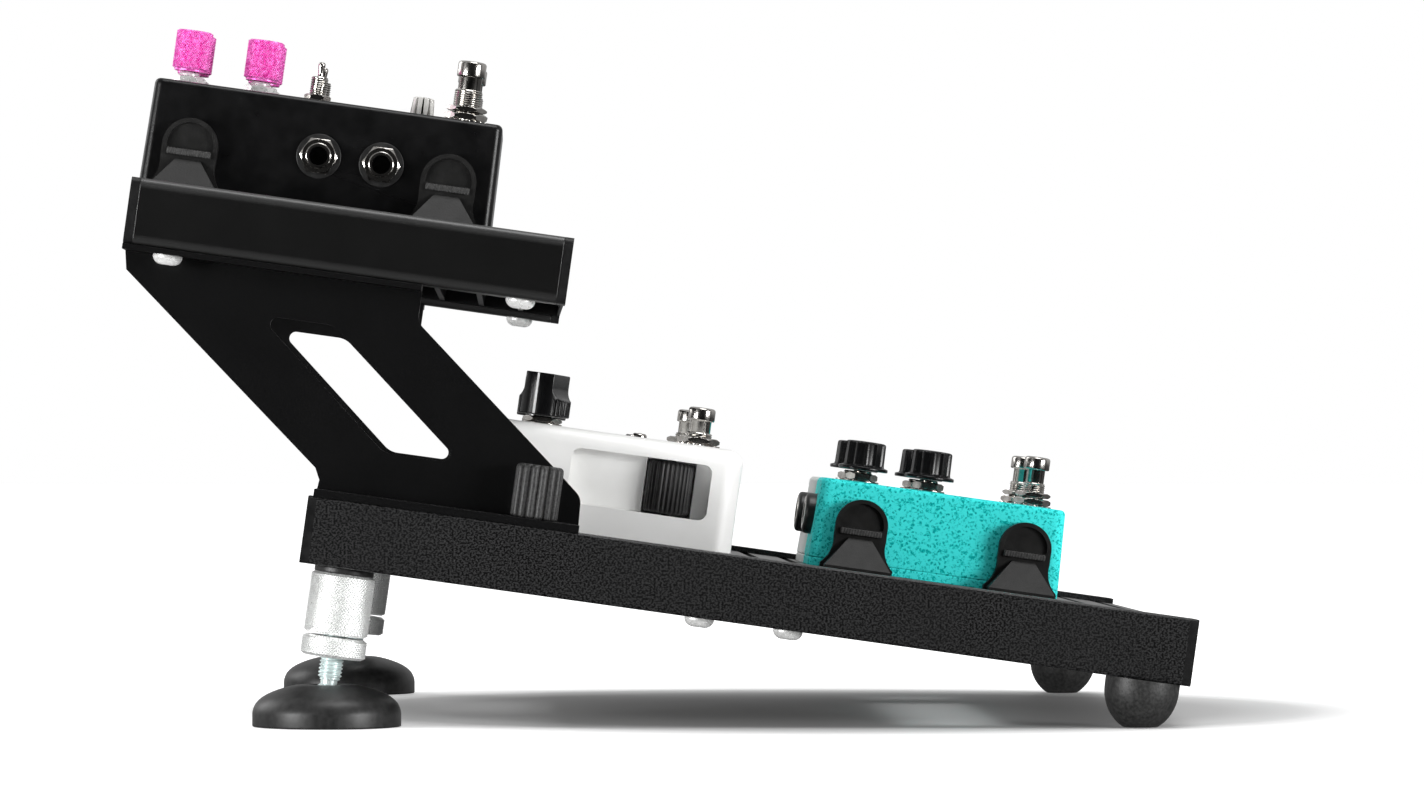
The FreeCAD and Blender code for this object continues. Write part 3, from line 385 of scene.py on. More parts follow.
def nut_mesh(name, flats, low, high, centre, bore):
    """A hexagonal nut; a 30 degree cone takes the corners off its faces."""
    corner = flats / math.sqrt(3)
    face = flats / 2 * 0.975
    depth = (corner - face) / math.tan(math.radians(60))
    rings = []
    for part in range(9):
        share = part / 8
        rings.append((face + (corner - face) * share, low + depth * share))
    for part in range(9):
        share = 1 - part / 8
        rings.append((face + (corner - face) * share, high - depth * share))
    return ring_mesh(name, rings, 144, hexagon_at(flats), centre, bore)


def helix_at(depth, pitch):
    def radius_at(angle, radius, height):
        phase = (height / pitch - angle / (2 * math.pi)) % 1.0
        wave = abs(phase - 0.5) * 2
        return radius - depth * (1 - min(1.0, wave * 1.25))
    return radius_at


def knurl_mesh(name, radius, low, high, centre, pitch, depth, bore=None, edge=0.5):
    """A cylinder covered in small pyramids: corners on a diagonal grid stand out in turn."""
    columns = 2 * round(2 * math.pi * radius / pitch)
    rows = max(2, 2 * round((high - low - 2 * edge) / pitch))
    vertices, faces = [], []

    def ring(r_at, height):
        start = len(vertices)
        for step in range(columns):
            angle = 2 * math.pi * step / columns
            r = r_at(step)
            vertices.append((centre[0] + r * math.cos(angle), centre[1] + r * math.sin(angle), centre[2] + height))
        return start

    starts = []
    if bore:
        starts.append(ring(lambda step: bore, low))
    starts.append(ring(lambda step: radius - depth - edge * 0.8, low))
    for row in range(rows + 1):
        height = low + edge + (high - low - 2 * edge) * row / rows
        starts.append(ring(lambda step: radius if (step + row) % 2 == 0 else radius - depth, height))
    starts.append(ring(lambda step: radius - depth - edge * 0.8, high))
    if bore:
        starts.append(ring(lambda step: bore, high))
    first_row = starts[2] if bore else starts[1]
    for below, above in zip(starts, starts[1:]):
        row = (below - first_row) // columns
        grid = first_row <= below and above <= first_row + rows * columns
        for step in range(columns):
            after = (step + 1) % columns
            a, b, c, d = below + step, below + after, above + after, above + step
            if grid and (step + row) % 2 == 0:
                faces += [(a, b, d), (b, c, d)]
            elif grid:
                faces += [(a, b, c), (a, c, d)]
            else:
                faces.append((a, b, c, d))
    if bore:
        for step in range(columns):
            after = (step + 1) % columns
            faces.append((starts[-1] + step, starts[-1] + after, starts[0] + after, starts[0] + step))
    else:
        faces.append(tuple(range(starts[0], starts[0] + columns))[::-1])
        faces.append(tuple(range(starts[-1], starts[-1] + columns)))
    mesh = bpy.data.meshes.new(name)
    mesh.from_pydata(vertices, [], faces)
    return mesh


def box_mesh(name, low, high, edge=0.4, segments=3):
    work = bmesh.new()
    bmesh.ops.create_cube(work, size=1)
    size = [high[i] - low[i] for i in range(3)]
    for v in work.verts:
        v.co = Vector(low[i] + (v.co[i] + 0.5) * size[i] for i in range(3))
    bmesh.ops.bevel(work, geom=work.edges[:], offset=edge, segments=segments, affect="EDGES", profile=0.5)
    mesh = bpy.data.meshes.new(name)
    work.to_mesh(mesh)
    work.free()
    return mesh


# --- CAD nodes that stay: softened edges and their materials ---
def soften(node, width):
    """Welds a CAD node's triangles, rounds its sharp edges and smooths its curved faces."""
    piece = NODES[node]
    weld = piece.modifiers.new("weld", "WELD")
    weld.merge_threshold = 0.00001
    bevel = piece.modifiers.new("bevel", "BEVEL")
    bevel.width = width * MM
    bevel.segments = 3
    bevel.limit_method = "ANGLE"
    bevel.angle_limit = math.radians(30)
    bevel.harden_normals = False
    bevel.use_clamp_overlap = True
    piece.data.shade_smooth()
    normals = piece.modifiers.new("normals", "WEIGHTED_NORMAL")
    normals.keep_sharp = False
    normals.weight = 80


def paint_frame():
    for row in frame["record"]["subparts"]:
        piece = NODES[row["node"]]
        material = MATERIALS[row["material_slot"]]
        # The side beams take the board's black painted lighter, as if lit by the floor.
        if row["node"].startswith("side_beam"):
            material = MATERIALS["beam_grain_painted_lighter"]
        # The tray beams take painted highlights along their rounded top and bottom edges.
        elif row["node"].startswith("tray_beam"):
            material = MATERIALS["beam_painted_edge_highlights"]
        for slot in piece.material_slots:
            slot.material = material
        if not piece.material_slots:
            piece.data.materials.append(material)


paint_frame()


# --- legs and feet ---
def make_legs():
    sleeve_low, sleeve_high = deck_box("leg_sleeves")
    washer = 2.1
    for side in ("near", "far"):
        ring_low, ring_high = deck_box("lock_ring_" + side)
        rod_low, rod_high = deck_box("leg_rod_" + side)
        x, y = (ring_low.x + ring_high.x) / 2, (ring_low.y + ring_high.y) / 2
        radius = (sleeve_high.x - sleeve_low.x) / 2
        bore = 4.3
        sleeve = knurl_mesh("leg_sleeve_" + side, radius, sleeve_low.z, sleeve_high.z - washer, (x, y, 0),
                            1.25, 0.62, bore=bore, edge=0.8)
        finish_piece("leg_sleeve_" + side, sleeve, "leg_sleeves", "knurled_aluminium", sharp=12)
        plate = ring_mesh("leg_washer_" + side, soft_rings(10.0, sleeve_high.z - washer, sleeve_high.z, 0.4), 72,
                          plain, (x, y, 0), bore)
        finish_piece("leg_washer_" + side, plate, "leg_sleeves", "pad_plastic")
        ring = knurl_mesh("lock_ring_knurl_" + side, (ring_high.x - ring_low.x) / 2, ring_low.z, ring_high.z,
                          (x, y, 0), 1.25, 0.62, bore=bore + 0.1, edge=0.9)
        finish_piece("lock_ring_knurl_" + side, ring, "lock_ring_" + side, "knurled_aluminium", sharp=12)

        ball = 5.0
        pivot = rod_low.z + ball
        foot = pivot + 5.6
        thread_pitch, thread_depth = 1.25, 0.62
        rings = [(2.9, foot)]
        steps = int((rod_high.z - foot) / thread_pitch * 8)
        for step in range(steps + 1):
            height = foot + 0.1 + (rod_high.z - foot - 0.2) * step / steps
            taper = min(1.0, 0.35 + 0.65 * (height - foot) / 1.2, 0.35 + 0.65 * (rod_high.z - height) / 1.2)
            rings.append((4.0 - (1 - taper) * 1.0, height))
        rings.append((2.9, rod_high.z))
        thread = turned_mesh("thread", rings, 40, helix_at(thread_depth, thread_pitch), (x, y, 0))
        neck = turned_mesh("neck", [(2.8, pivot + 2.0), (2.8, foot + 0.4)], 40, plain, (x, y, 0))
        globe = turned_mesh("globe", [(max(0.2, ball * math.cos(math.radians(a))), pivot + ball *
                                       math.sin(math.radians(a))) for a in range(-88, 89, 8)],
                            40, plain, (x, y, 0))
        rod = join_meshes("leg_thread_" + side, [thread, neck, globe])
        finish_piece("leg_thread_" + side, rod, "leg_rod_" + side, "zinc_thread", sharp=50)

        # The pad lies flat on the floor, so it is turned about a plumb axis.
        profile = [(24.6, -10.0), (24.85, -9.93), (24.97, -9.75), (25.0, -9.4), (25.0, -5.6), (24.9, -4.7),
                   (24.55, -3.6), (23.9, -2.3), (22.9, -1.15), (21.7, -0.15), (20.2, 0.75), (18.4, 1.6),
                   (16.4, 2.35), (14.2, 3.05), (12.2, 3.55), (10.6, 3.85), (9.4, 3.97), (8.4, 4.0), (4.8, 4.0),
                   (4.4, 3.8), (3.4, 1.2)]
        pad = turned_mesh("swivel_pad_" + side, profile, 120, plain, (0, 0, 0))
        upright = Matrix.Translation(DECK @ Vector((x, y, pivot))) @ Matrix.Scale(MM, 4)
        finish_piece("swivel_pad_" + side, pad, "foot_pad_" + side, "pad_plastic", sharp=60, matrix=upright)


def make_riser_knobs():
    ribs = 14

    def fluted(angle, radius, height):
        if radius < 6.0:
            return radius
        groove = (1 - abs(math.cos(ribs / 2 * angle))) ** 1.3
        return radius - 1.25 * groove * min(1.0, (radius - 6.0) / 1.4)

    for side in ("near", "far"):
        node = "riser_knob_" + side
        high = deck_box(node)[1]
        foot = 2.6
        rings = [(7.0, foot), (7.6, foot + 0.15), (7.95, foot + 0.5), (8.0, foot + 0.9), (8.0, high.z - 1.6),
                 (7.9, high.z - 1.0), (7.6, high.z - 0.5), (7.0, high.z - 0.1), (6.2, high.z), (5.0, high.z),
                 (4.7, high.z - 0.5), (0.4, high.z - 0.7)]
        centre = middle(node)
        mesh = turned_mesh("hand_knob_" + side, rings, ribs * 14, fluted, (centre.x, centre.y, 0))
        finish_piece("hand_knob_" + side, mesh, node, "hand_knob", sharp=50)


# --- controls ---
def soft_rings(radius, low, high, edge, bottom=True):
    """Rings for a disc or cap whose rims are rounded."""
    rings = []
    if bottom:
        rings = [(radius - edge * (1 - math.sin(a)), low + edge * (1 - math.cos(a)))
                 for a in (0, math.pi / 8, math.pi / 4, math.pi * 3 / 8, math.pi / 2)]
    else:
        rings = [(radius, low)]
    rings += [(radius - edge * (1 - math.cos(a)), high - edge * (1 - math.sin(a)))
              for a in (0, math.pi / 8, math.pi / 4, math.pi * 3 / 8, math.pi / 2)]
    return rings


def make_pink_knobs():
    for number in (1, 2, 3, 4):
        node = "black_pedal_knob_%d" % number
        high = deck_box(node)[1]
        centre = middle(node)
        base = panel_of("black_pedal_shell") + 4.5
        place = (centre.x, centre.y, 0)
        band = turned_mesh("band", soft_rings(5.5, base, base + 1.0, 0.25), 96, plain, place)
        body = knurl_mesh("body", 6.4, base + 0.7, high.z - 0.02, place, 1.0, 0.44, edge=0.55)
        crown = turned_mesh("crown", [(5.2, high.z - 0.9), (5.2, high.z - 0.25), (4.9, high.z - 0.02), (4.2, high.z),
                                      (3.9, high.z - 0.2), (0.3, high.z - 0.25)], 96, plain, place)
        mesh = join_meshes("knurled_knob_%d" % number, [band, body, crown])
        finish_piece("knurled_knob_%d" % number, mesh, node, "pink_anodised", sharp=12)


def panel_of(node):
    return deck_box(node)[1].z


def pointer_mesh(name, centre, foot, top, turn):
    """A fluted skirt that narrows into a bar; the bar's ends stay on the skirt's round."""
    flutes, reach, bar, seat, scoop = 36, 9.1, 5.3, foot + 5.8, 4.2

    def shape(angle, radius, height):
        side = abs(math.cos(angle - turn))
        half = reach
        if height > seat:
            rise = min(1.0, (height - seat) / scoop)
            half = bar + (reach - bar) * (1 - math.sqrt(1 - (1 - rise) ** 2))
        half -= reach - radius
        limited = min(radius, half / max(side, 0.02))
        if foot + 0.4 < height < seat + 0.3 and side > 0.62:
            limited -= 0.34 * (0.5 - 0.5 * math.cos(flutes * (angle - turn)))
        return limited

    rings = [(8.7, foot), (9.0, foot + 0.15), (9.1, foot + 0.4), (9.1, foot + 0.5), (9.1, seat - 0.3)]
    rings += [(9.1, seat + 0.05 + scoop * (part / 16) ** 1.6) for part in range(17)]
    rings += [(9.1, top - 0.4), (9.05, top - 0.2), (8.92, top - 0.07), (8.75, top - 0.02), (8.0, top - 0.02),
              (5.5, top - 0.02)]
    return turned_mesh(name, rings, flutes * 10, shape, (centre.x, centre.y, 0))


def pointer_line_mesh(name, centre, foot, top, turn):
    """The painted line: up the bar's pointer end and along its top."""
    up = box_mesh("up", (-0.42, -9.12, foot + 0.35), (0.42, -8.9, top - 0.2), edge=0.05, segments=1)
    along = box_mesh("along", (-0.42, -8.8, top - 0.12), (0.42, -2.4, top), edge=0.05, segments=1)
    mesh = join_meshes(name, [up, along])
    mesh.transform(Matrix.Translation((centre.x, centre.y, 0)) @ Matrix.Rotation(turn, 4, "Z"))
    return mesh


def make_pointer_knobs():
    turn = math.radians(-22.0)
    for prefix, shell in (("white_pedal", "white_pedal_shell"), ("rear_white_pedal", "rear_white_pedal_case")):
        node = prefix + "_knob"
        high = deck_box(node)[1]
        centre = middle(node)
        foot = panel_of(shell) + 2.9
        mesh = pointer_mesh(prefix + "_pointer_knob", centre, foot, high.z, turn)
        finish_piece(prefix + "_pointer_knob", mesh, node, "knob_black", sharp=40)
        line = pointer_line_mesh(prefix + "_pointer_line", centre, foot, high.z, turn)
        finish_piece(prefix + "_pointer_line", line, node, "ivory_plastic", material=MATERIALS["pointer_line"],
                     replaces=False)


def make_small_knobs():
    flutes = 12

    def fluted(angle, radius, height):
        if not 5.8 < radius < 7.5:
            return radius
        wave = abs(math.sin(flutes / 2 * angle))
        return radius - 0.55 * (1 - (1 - wave) ** 2.2) + 0.15

    for prefix in ("teal_pedal", "pale_pedal"):
        for number in (1, 2):
            node = "%s_knob_%d" % (prefix, number)
            top = deck_box(node)[1].z
            centre = middle(node)
            foot = panel_of("teal_pedal_shell") + 4.5
            rings = [(8.7, foot), (9.05, foot + 0.15), (9.1, foot + 0.5), (9.1, foot + 1.0), (8.95, foot + 1.25),
                     (8.5, foot + 1.4), (7.75, foot + 1.6), (7.45, foot + 1.9), (7.35, foot + 2.4),
                     (7.2, top - 1.0), (7.05, top - 0.6), (6.7, top - 0.32), (6.0, top - 0.16), (4.6, top - 0.08),
                     (2.6, top - 0.02), (0.3, top)]
            mesh = turned_mesh("%s_fluted_knob_%d" % (prefix, number), rings, flutes * 16, fluted,
                               (centre.x, centre.y, 0))
            finish_piece("%s_fluted_knob_%d" % (prefix, number), mesh, node, "knob_black", sharp=42)


def make_trim_knob():
    node = "black_pedal_trim_knob"
    high = deck_box(node)[1]
    centre = middle(node)
    foot = panel_of("black_pedal_shell") + 0.9
    ribs = 10

    def fluted(angle, radius, height):
        share = min(1.0, max(0.0, (high.z - height) / (high.z - foot)))
        gap = abs(math.cos(ribs / 2 * angle))
        cut = max(0.0, 1 - gap / (0.25 + 0.45 * share))
        return radius - 1.2 * min(1.0, cut * 3) * (1 if radius > 3.2 else 0)

    steps = 14
    rings = [(4.1, foot)] + [(4.2 - 0.55 * step / steps, foot + 0.3 + (high.z - foot - 0.7) * step / steps)
                             for step in range(steps + 1)] + [(3.3, high.z - 0.1), (2.6, high.z), (0.3, high.z)]
    mesh = turned_mesh("fluted_trim_knob", rings, ribs * 24, fluted, (centre.x, centre.y, 0))
    finish_piece("fluted_trim_knob", mesh, node, "ivory_plastic", sharp=40)
    core = turned_mesh("trim_knob_core", [(3.3, foot), (3.1, high.z - 0.6), (2.7, high.z - 0.3)], 60, plain,
                       (centre.x, centre.y, 0))
    finish_piece("trim_knob_core", core, node, "knob_black", replaces=False)


def make_thumbwheel():
    node = "white_pedal_thumbwheel"
    low, high = deck_box(node)
    centre = middle(node)
    ribs = 30

    def ribbed(angle, radius, height):
        if radius < 7.0:
            return radius
        return radius - 0.55 * (0.5 + 0.5 * math.cos(ribs * angle)) ** 1.5

    z0, z1 = low.z + 2.0, high.z - 2.0
    rings = [(1.4, low.z), (1.4, z0 - 0.2), (6.6, z0), (7.4, z0 + 0.2), (8.0, z0 + 0.8), (8.15, z0 + 1.3),
             (8.15, z1 - 1.3), (8.0, z1 - 0.8), (7.4, z1 - 0.2), (6.6, z1), (1.4, z1 + 0.2), (1.4, high.z)]
    mesh = turned_mesh("ribbed_thumbwheel", rings, ribs * 12, ribbed, (centre.x, centre.y, 0))
    finish_piece("ribbed_thumbwheel", mesh, node, "wheel_black", sharp=45)


def make_toggles():
    for number in (1, 2):
        node = "black_pedal_toggle_%d" % number
        low, high = deck_box(node)
        centre = middle(node)
        pivot = low.z + 1.9
        ball = [(max(0.2, 1.9 * math.cos(math.radians(a))), pivot + 1.9 * math.sin(math.radians(a)))
                for a in range(-85, 60, 12)]
        bat = [(0.95, pivot + 1.9), (0.95, pivot + 2.8), (1.08, pivot + 4.2), (1.22, pivot + 5.4), (1.24, pivot + 5.8),
               (1.12, pivot + 6.2), (0.8, pivot + 6.5), (0.3, high.z)]
        mesh = turned_mesh("toggle_lever_%d" % number, ball + bat, 48, plain, (centre.x, centre.y, 0))
        finish_piece("toggle_lever_%d" % number, mesh, node, "chrome", sharp=60)


# Each footswitch: its node, its pedal's case, the cap's radius and height, and the shaft's radius.
SWITCHES = [("black_pedal_footswitch_1", "black_pedal_shell", 4.9, 5.6, 3.95),
            ("black_pedal_footswitch_2", "black_pedal_shell", 4.9, 5.6, 3.95),
            ("white_pedal_footswitch", "white_pedal_shell", 4.7, 4.7, 3.75),
            ("rear_white_pedal_footswitch", "rear_white_pedal_case", 4.7, 4.7, 3.75),
            ("teal_pedal_footswitch", "teal_pedal_shell", 4.7, 4.8, 3.3),
            ("pale_pedal_footswitch", "pale_pedal_case", 4.7, 4.8, 3.3)]


def make_switches():
    for node, _, cap, height, shaft in SWITCHES:
        low, high = deck_box(node)
        centre = middle(node)
        under = high.z - height
        rings = [(shaft, low.z), (shaft, under - 0.1), (shaft + 0.05, under), (cap - 0.5, under + 0.02),
                 (cap - 0.2, under + 0.12), (cap - 0.04, under + 0.35), (cap, under + 0.6), (cap, high.z - 1.1),
                 (cap - 0.08, high.z - 0.75), (cap - 0.3, high.z - 0.42), (cap - 0.7, high.z - 0.18),
                 (cap - 1.4, high.z - 0.06), (cap - 2.6, high.z - 0.01), (0.3, high.z)]
        mesh = turned_mesh(node + "_cap", rings, 80, plain, (centre.x, centre.y, 0))
        finish_piece(node + "_cap", mesh, node, "chrome", sharp=50)


def threaded_bush(x, y, low, high, radius, bore, pitch=0.75):
    depth = pitch * 0.45
    steps = max(4, int((high - low) / pitch * 6))
    rings = []
    for step in range(steps + 1):
        height = low + (high - low) * step / steps
        ease = min(1.0, (high - height) / 0.5)
        rings.append((radius - (1 - ease) * 0.4, height))

    def thread(angle, r, height):
        if height > high - 0.35:
            return r
        phase = (height / pitch - angle / (2 * math.pi)) % 1.0
        return r - depth * (1 - min(1.0, abs(phase - 0.5) * 2.4))
    return ring_mesh("bush", rings, 60, thread, (x, y, 0), bore)


def flat_washer(x, y, low, high, radius, bore):
    return ring_mesh("washer", soft_rings(radius, low, high, min(0.25, (high - low) * 0.4)), 72, plain,
                     (x, y, 0), bore)


def locking_washer(x, y, low, high, radius, bore):
    """A toothed washer: its rim is notched all round."""
    def teeth(angle, r, height):
        return r - 0.45 * (0.5 + 0.5 * math.cos(24 * angle)) ** 0.5
    return ring_mesh("washer", [(radius, low), (radius, high)], 192, teeth, (x, y, 0), bore)


def axis_at(point):
    return (point.x, point.y, 0)


WHITE_KNOBS = [("white_pedal_knob", "white_pedal_shell"), ("rear_white_pedal_knob", "rear_white_pedal_case")]
LAMP_AHEAD = 34.3               # from a white pedal's knob to its lamp


def make_fittings():
    """Nuts, bushes, washers and lamp rings: every fixed fitting on the pedals' panels."""
    items, plated = [], []
    for number in (1, 2, 3, 4):
        c, z = middle("black_pedal_knob_%d" % number), panel_of("black_pedal_shell")
        plated += [flat_washer(c.x, c.y, z, z + 0.6, 6.0, 3.6),
                   nut_mesh("nut", 10.0, z + 0.6, z + 3.0, axis_at(c), 3.6),
                   threaded_bush(c.x, c.y, z, z + 4.2, 3.6, 3.05)]
    z = panel_of("black_pedal_shell")
    for number in (1, 2):
        c = middle("black_pedal_toggle_%d" % number)
        items += [flat_washer(c.x, c.y, z, z + 0.5, 4.6, 3.0),
                  nut_mesh("nut", 8.0, z + 0.5, z + 2.4, axis_at(c), 3.0),
                  threaded_bush(c.x, c.y, z, z + 8.6, 3.0, 2.0)]
    c = middle("black_pedal_trim_knob")
    items.append(flat_washer(c.x, c.y, z, z + 0.6, 4.4, 3.3))
    for node, shell, _, _, shaft in SWITCHES:
        c, z = middle(node), panel_of(shell)
        high = deck_box(node)[1].z
        if node.startswith("black"):
            bush, flats, top = 4.9, 13.0, high - 10.0
        elif "white" in node:
            bush, flats, top = 4.6, 13.0, high - 8.8
        else:
            bush, flats, top = 4.1, 12.0, high - 9.7
        items += [locking_washer(c.x, c.y, z, z + 0.5, flats / 2 + 1.2, bush),
                  nut_mesh("nut", flats, z + 0.5, z + 2.9, axis_at(c), bush),
                  threaded_bush(c.x, c.y, z, top, bush, shaft + 0.05)]
        if top > z + 7:
            items.append(nut_mesh("nut", flats - 0.6, z + 3.3, z + 5.2, axis_at(c), bush))
    for knob, shell in WHITE_KNOBS:
        c, z = middle(knob), panel_of(shell)
        items += [flat_washer(c.x, c.y, z, z + 0.5, 7.0, 3.6),
                  nut_mesh("nut", 12.0, z + 0.5, z + 2.4, axis_at(c), 3.6),
                  threaded_bush(c.x, c.y, z, z + 2.8, 3.6, 3.05)]
    for prefix, shell in (("teal_pedal", "teal_pedal_shell"), ("pale_pedal", "pale_pedal_case")):
        for number in (1, 2):
            c, z = middle("%s_knob_%d" % (prefix, number)), panel_of(shell)
            items += [flat_washer(c.x, c.y, z, z + 0.7, 6.4, 3.6),
                      nut_mesh("nut", 10.0, z + 0.7, z + 3.3, axis_at(c), 3.6),
                      threaded_bush(c.x, c.y, z, z + 4.2, 3.6, 3.05)]
    lamps = []
    for knob, shell in WHITE_KNOBS:
        c, z = middle(knob), panel_of(shell)
        x = c.x + LAMP_AHEAD
        rings = [(2.5, z - 0.4), (2.5, z + 0.5), (2.42, z + 0.85), (2.2, z + 1.15), (1.9, z + 1.35), (1.6, z + 1.4)]
        items.append(ring_mesh("bezel", rings, 48, plain, (x, c.y, 0), 1.5))
        dome = [(1.45, z - 0.4)] + [(1.45 * math.cos(math.radians(a)), z + 0.6 + 0.95 * math.sin(math.radians(a)))
                                    for a in range(0, 86, 12)]
        lamps.append(turned_mesh("lamp", dome, 32, plain, (x, c.y, 0)))
    mesh = join_meshes("panel_fittings", items)
    finish_piece("panel_fittings", mesh, "panel_hardware", "chrome", sharp=28)
    mesh = join_meshes("plated_fittings", plated)
    finish_piece("plated_fittings", mesh, "panel_hardware", "screw_steel", sharp=28, replaces=False)
    mesh = join_meshes("indicator_lamps", lamps)
    finish_piece("indicator_lamps", mesh, "panel_hardware", "ivory_plastic", material=MATERIALS["led_lens"],
                 replaces=False)


# --- sockets ---
POWER_Z = 16.6                  # the power sockets' height over the deck


def lying(mesh, x, y, z, axis):
    """Turns a mesh made about z so that it points along axis, at a deck point."""
    turn = Vector((0, 0, 1)).rotation_difference(Vector(axis)).to_matrix().to_4x4()
    mesh.transform(Matrix.Translation((x, y, z)) @ turn)
    return mesh


def make_sockets():
    shiny, dark, black = [], [], []
    face = deck_box("black_pedal_shell")[0].y + 0.4
    for mount in frame["record"]["mounts"]:
        if not mount["name"].startswith("jack_socket"):
            continue
        spot = TO_DECK @ Vector(mount["pos_m"])
        x, z = spot.x, spot.z
        out = (0, -1, 0)
        dark.append(lying(ring_mesh("w", soft_rings(7.7, -0.3, 0.9, 0.3, bottom=False), 96, plain, (0, 0, 0), 4.6),
                          x, face, z, out))
        shiny.append(lying(nut_mesh("n", 11.7, 0.85, 3.4, (0, 0, 0), 4.5), x, face, z, out))
        shiny.append(lying(ring_mesh("b", [(4.5, -8), (4.5, 3.9), (4.35, 4.35), (4.1, 4.55), (3.8, 4.6)], 72, plain,
                                     (0, 0, 0), 3.25), x, face, z, out))
        black.append(lying(ring_mesh("s", [(3.24, -10), (3.24, 2.6)], 60, plain, (0, 0, 0), 3.2), x, face, z, out))
        black.append(lying(turned_mesh("e", [(3.24, -11), (3.24, -10)], 60, plain, (0, 0, 0)), x, face, z, out))
    for shell in ("teal_pedal_shell", "pale_pedal_case"):
        low, high = deck_box(shell)
        x, y, z = low.x, (low.y + high.y) / 2, POWER_Z
        out = (-1, 0, 0)
        collar = [(7.5, -0.9), (7.5, 1.6), (7.35, 2.2), (7.0, 2.65), (6.5, 2.9), (6.0, 3.0)]
        black.append(lying(ring_mesh("c", collar, 96, plain, (0, 0, 0), 5.0), x, y, z, out))
        shiny.append(lying(ring_mesh("r", [(6.25, 2.2), (6.2, 2.95), (5.95, 3.14), (5.5, 3.2), (5.1, 3.17)], 96, plain,
                                     (0, 0, 0), 4.1), x, y, z, out))
        black.append(lying(turned_mesh("f", [(5.3, -7), (5.3, -2)], 60, plain, (0, 0, 0)), x, y, z, out))
        black.append(lying(ring_mesh("g", [(5.2, -2), (5.2, 2.6)], 60, plain, (0, 0, 0), 4.0), x, y, z, out))
        shiny.append(lying(turned_mesh("p", [(1.0, -2.0), (1.0, 1.6), (0.7, 2.1), (0.2, 2.2)], 32, plain, (0, 0, 0)),
                           x, y, z, out))
    finish_piece("socket_metal", join_meshes("socket_metal", shiny), "sockets", "chrome", sharp=30)
    finish_piece("socket_washers", join_meshes("socket_washers", dark), "sockets", "pad_plastic", replaces=False)
    finish_piece("socket_bodies", join_meshes("socket_bodies", black), "sockets", "socket_black", replaces=False)


# --- screws ---
BEAM_MIDDLE = 141.0             # the screws' distance from the board's centre line
STUD_X = 75.4
# Each pair of screws: x, the height of the head's seat, and the tip's height.
SCREWS = [(135.0, -22.5, -12.5), (165.0, -22.5, -12.5), (-58.0, 73.0, 84.8), (61.0, 74.8, 84.8)]


def make_screws():
    """Dome-headed screws that hang under the beams, and the nuts on the hand knobs' studs."""
    pieces = []
    dome = [(0.2, -1.5), (1.6, -1.55), (1.75, -3.12), (2.3, -3.18), (2.9, -3.05), (3.6, -2.72), (4.2, -2.25),
            (4.65, -1.65), (4.92, -1.0), (5.0, -0.4), (4.9, -0.02)]
    for x, seat, tip in SCREWS:
        for y in (-BEAM_MIDDLE, BEAM_MIDDLE):
            rings = [(radius, seat + drop) for radius, drop in dome] + [(2.5, seat), (2.5, tip - 0.5), (2.1, tip)]
            pieces.append(turned_mesh("screw", rings, 64, plain, (x, y, 0)))
    for y in (-BEAM_MIDDLE, BEAM_MIDDLE):
        pieces.append(nut_mesh("nut", 10.0, -6.8, -1.8, (STUD_X, y, 0), 3.05))
    finish_piece("beam_screws", join_meshes("beam_screws", pieces), "screws_and_nuts", "screw_steel", sharp=40)


# --- clamps ---
def make_clamp_grips():
    """A finely ribbed grip on the ledge of each clamp, painted paler than the clamp as a highlight along the ledge."""
    for deck in ("tray", "board"):
        for where in ("rear", "front"):
            for side in ("near", "far"):
                node = "%s_clamp_%s_%s" % (deck, where, side)
                low, high = deck_box(node)
                x = (low.x + high.x) / 2
                base = high.z - 26.0
                face, out = (high.y - 5.0, -1) if side == "near" else (low.y + 5.0, 1)
                band = sorted((face + out * 0.3, face + out * 1.45))
                ridges = [box_mesh("ledge", (x - 7.6, band[0], base + 12.95), (x + 7.6, band[1], base + 15.05),
                                   edge=0.4)]
                for step in range(15):
                    at = x - 7.0 + step
                    y0, y1 = sorted((face + out * 0.3, face + out * 1.55))
                    ridges.append(box_mesh("ridge", (at - 0.28, y0, base + 12.9), (at + 0.28, y1, base + 15.12),
                                           edge=0.12, segments=1))
                mesh = join_meshes(node + "_grip", ridges)
                finish_piece(node + "_grip", mesh, node, "clamp_plastic", material=MATERIALS["grip_painted_highlight"],
                             replaces=False)


# --- what stays from the CAD ---
SOFT_EDGES = {"side_beam_near": 0.35, "side_beam_far": 0.35, "tray_beam_near": 0.4, "tray_beam_far": 0.4,
              "beam_end_caps": 0.35, "rear_tracks": 0.3, "front_tracks": 0.3, "tray_tracks": 0.3,
              "riser_near": 0.35, "riser_far": 0.35, "front_feet": 0.5,
              "black_pedal_shell": 0.2, "black_pedal_base": 0.3, "white_pedal_shell": 0.7, "white_pedal_base": 0.3,
              "rear_white_pedal_case": 0.4, "teal_pedal_shell": 0.25, "teal_pedal_lid": 0.5,
              "pale_pedal_case": 0.35}

for name, width in SOFT_EDGES.items():
    soften(name, width)
for name in NODES:
    if "_clamp_" in name:
        soften(name, 0.45)

make_legs()
make_riser_knobs()
make_pink_knobs()
make_pointer_knobs()
make_small_knobs()
make_trim_knob()
make_thumbwheel()
make_toggles()
make_switches()
make_fittings()
make_sockets()
make_screws()
make_clamp_grips()


# --- camera, floor and light ---
NEAR_FACE = -150.0              # the board's near side, in millimetres as are the next three
FAR_DISTANCE = 1965.0           # from the near side to the camera
EYE_ALONG = 67.9                # from the deck's origin forward to the eye
EYE_HEIGHT = 92.4
LENS = 149.05
FRAMING = (0.1404, 0.0343)      # the lens shift that frames the board as the photograph does


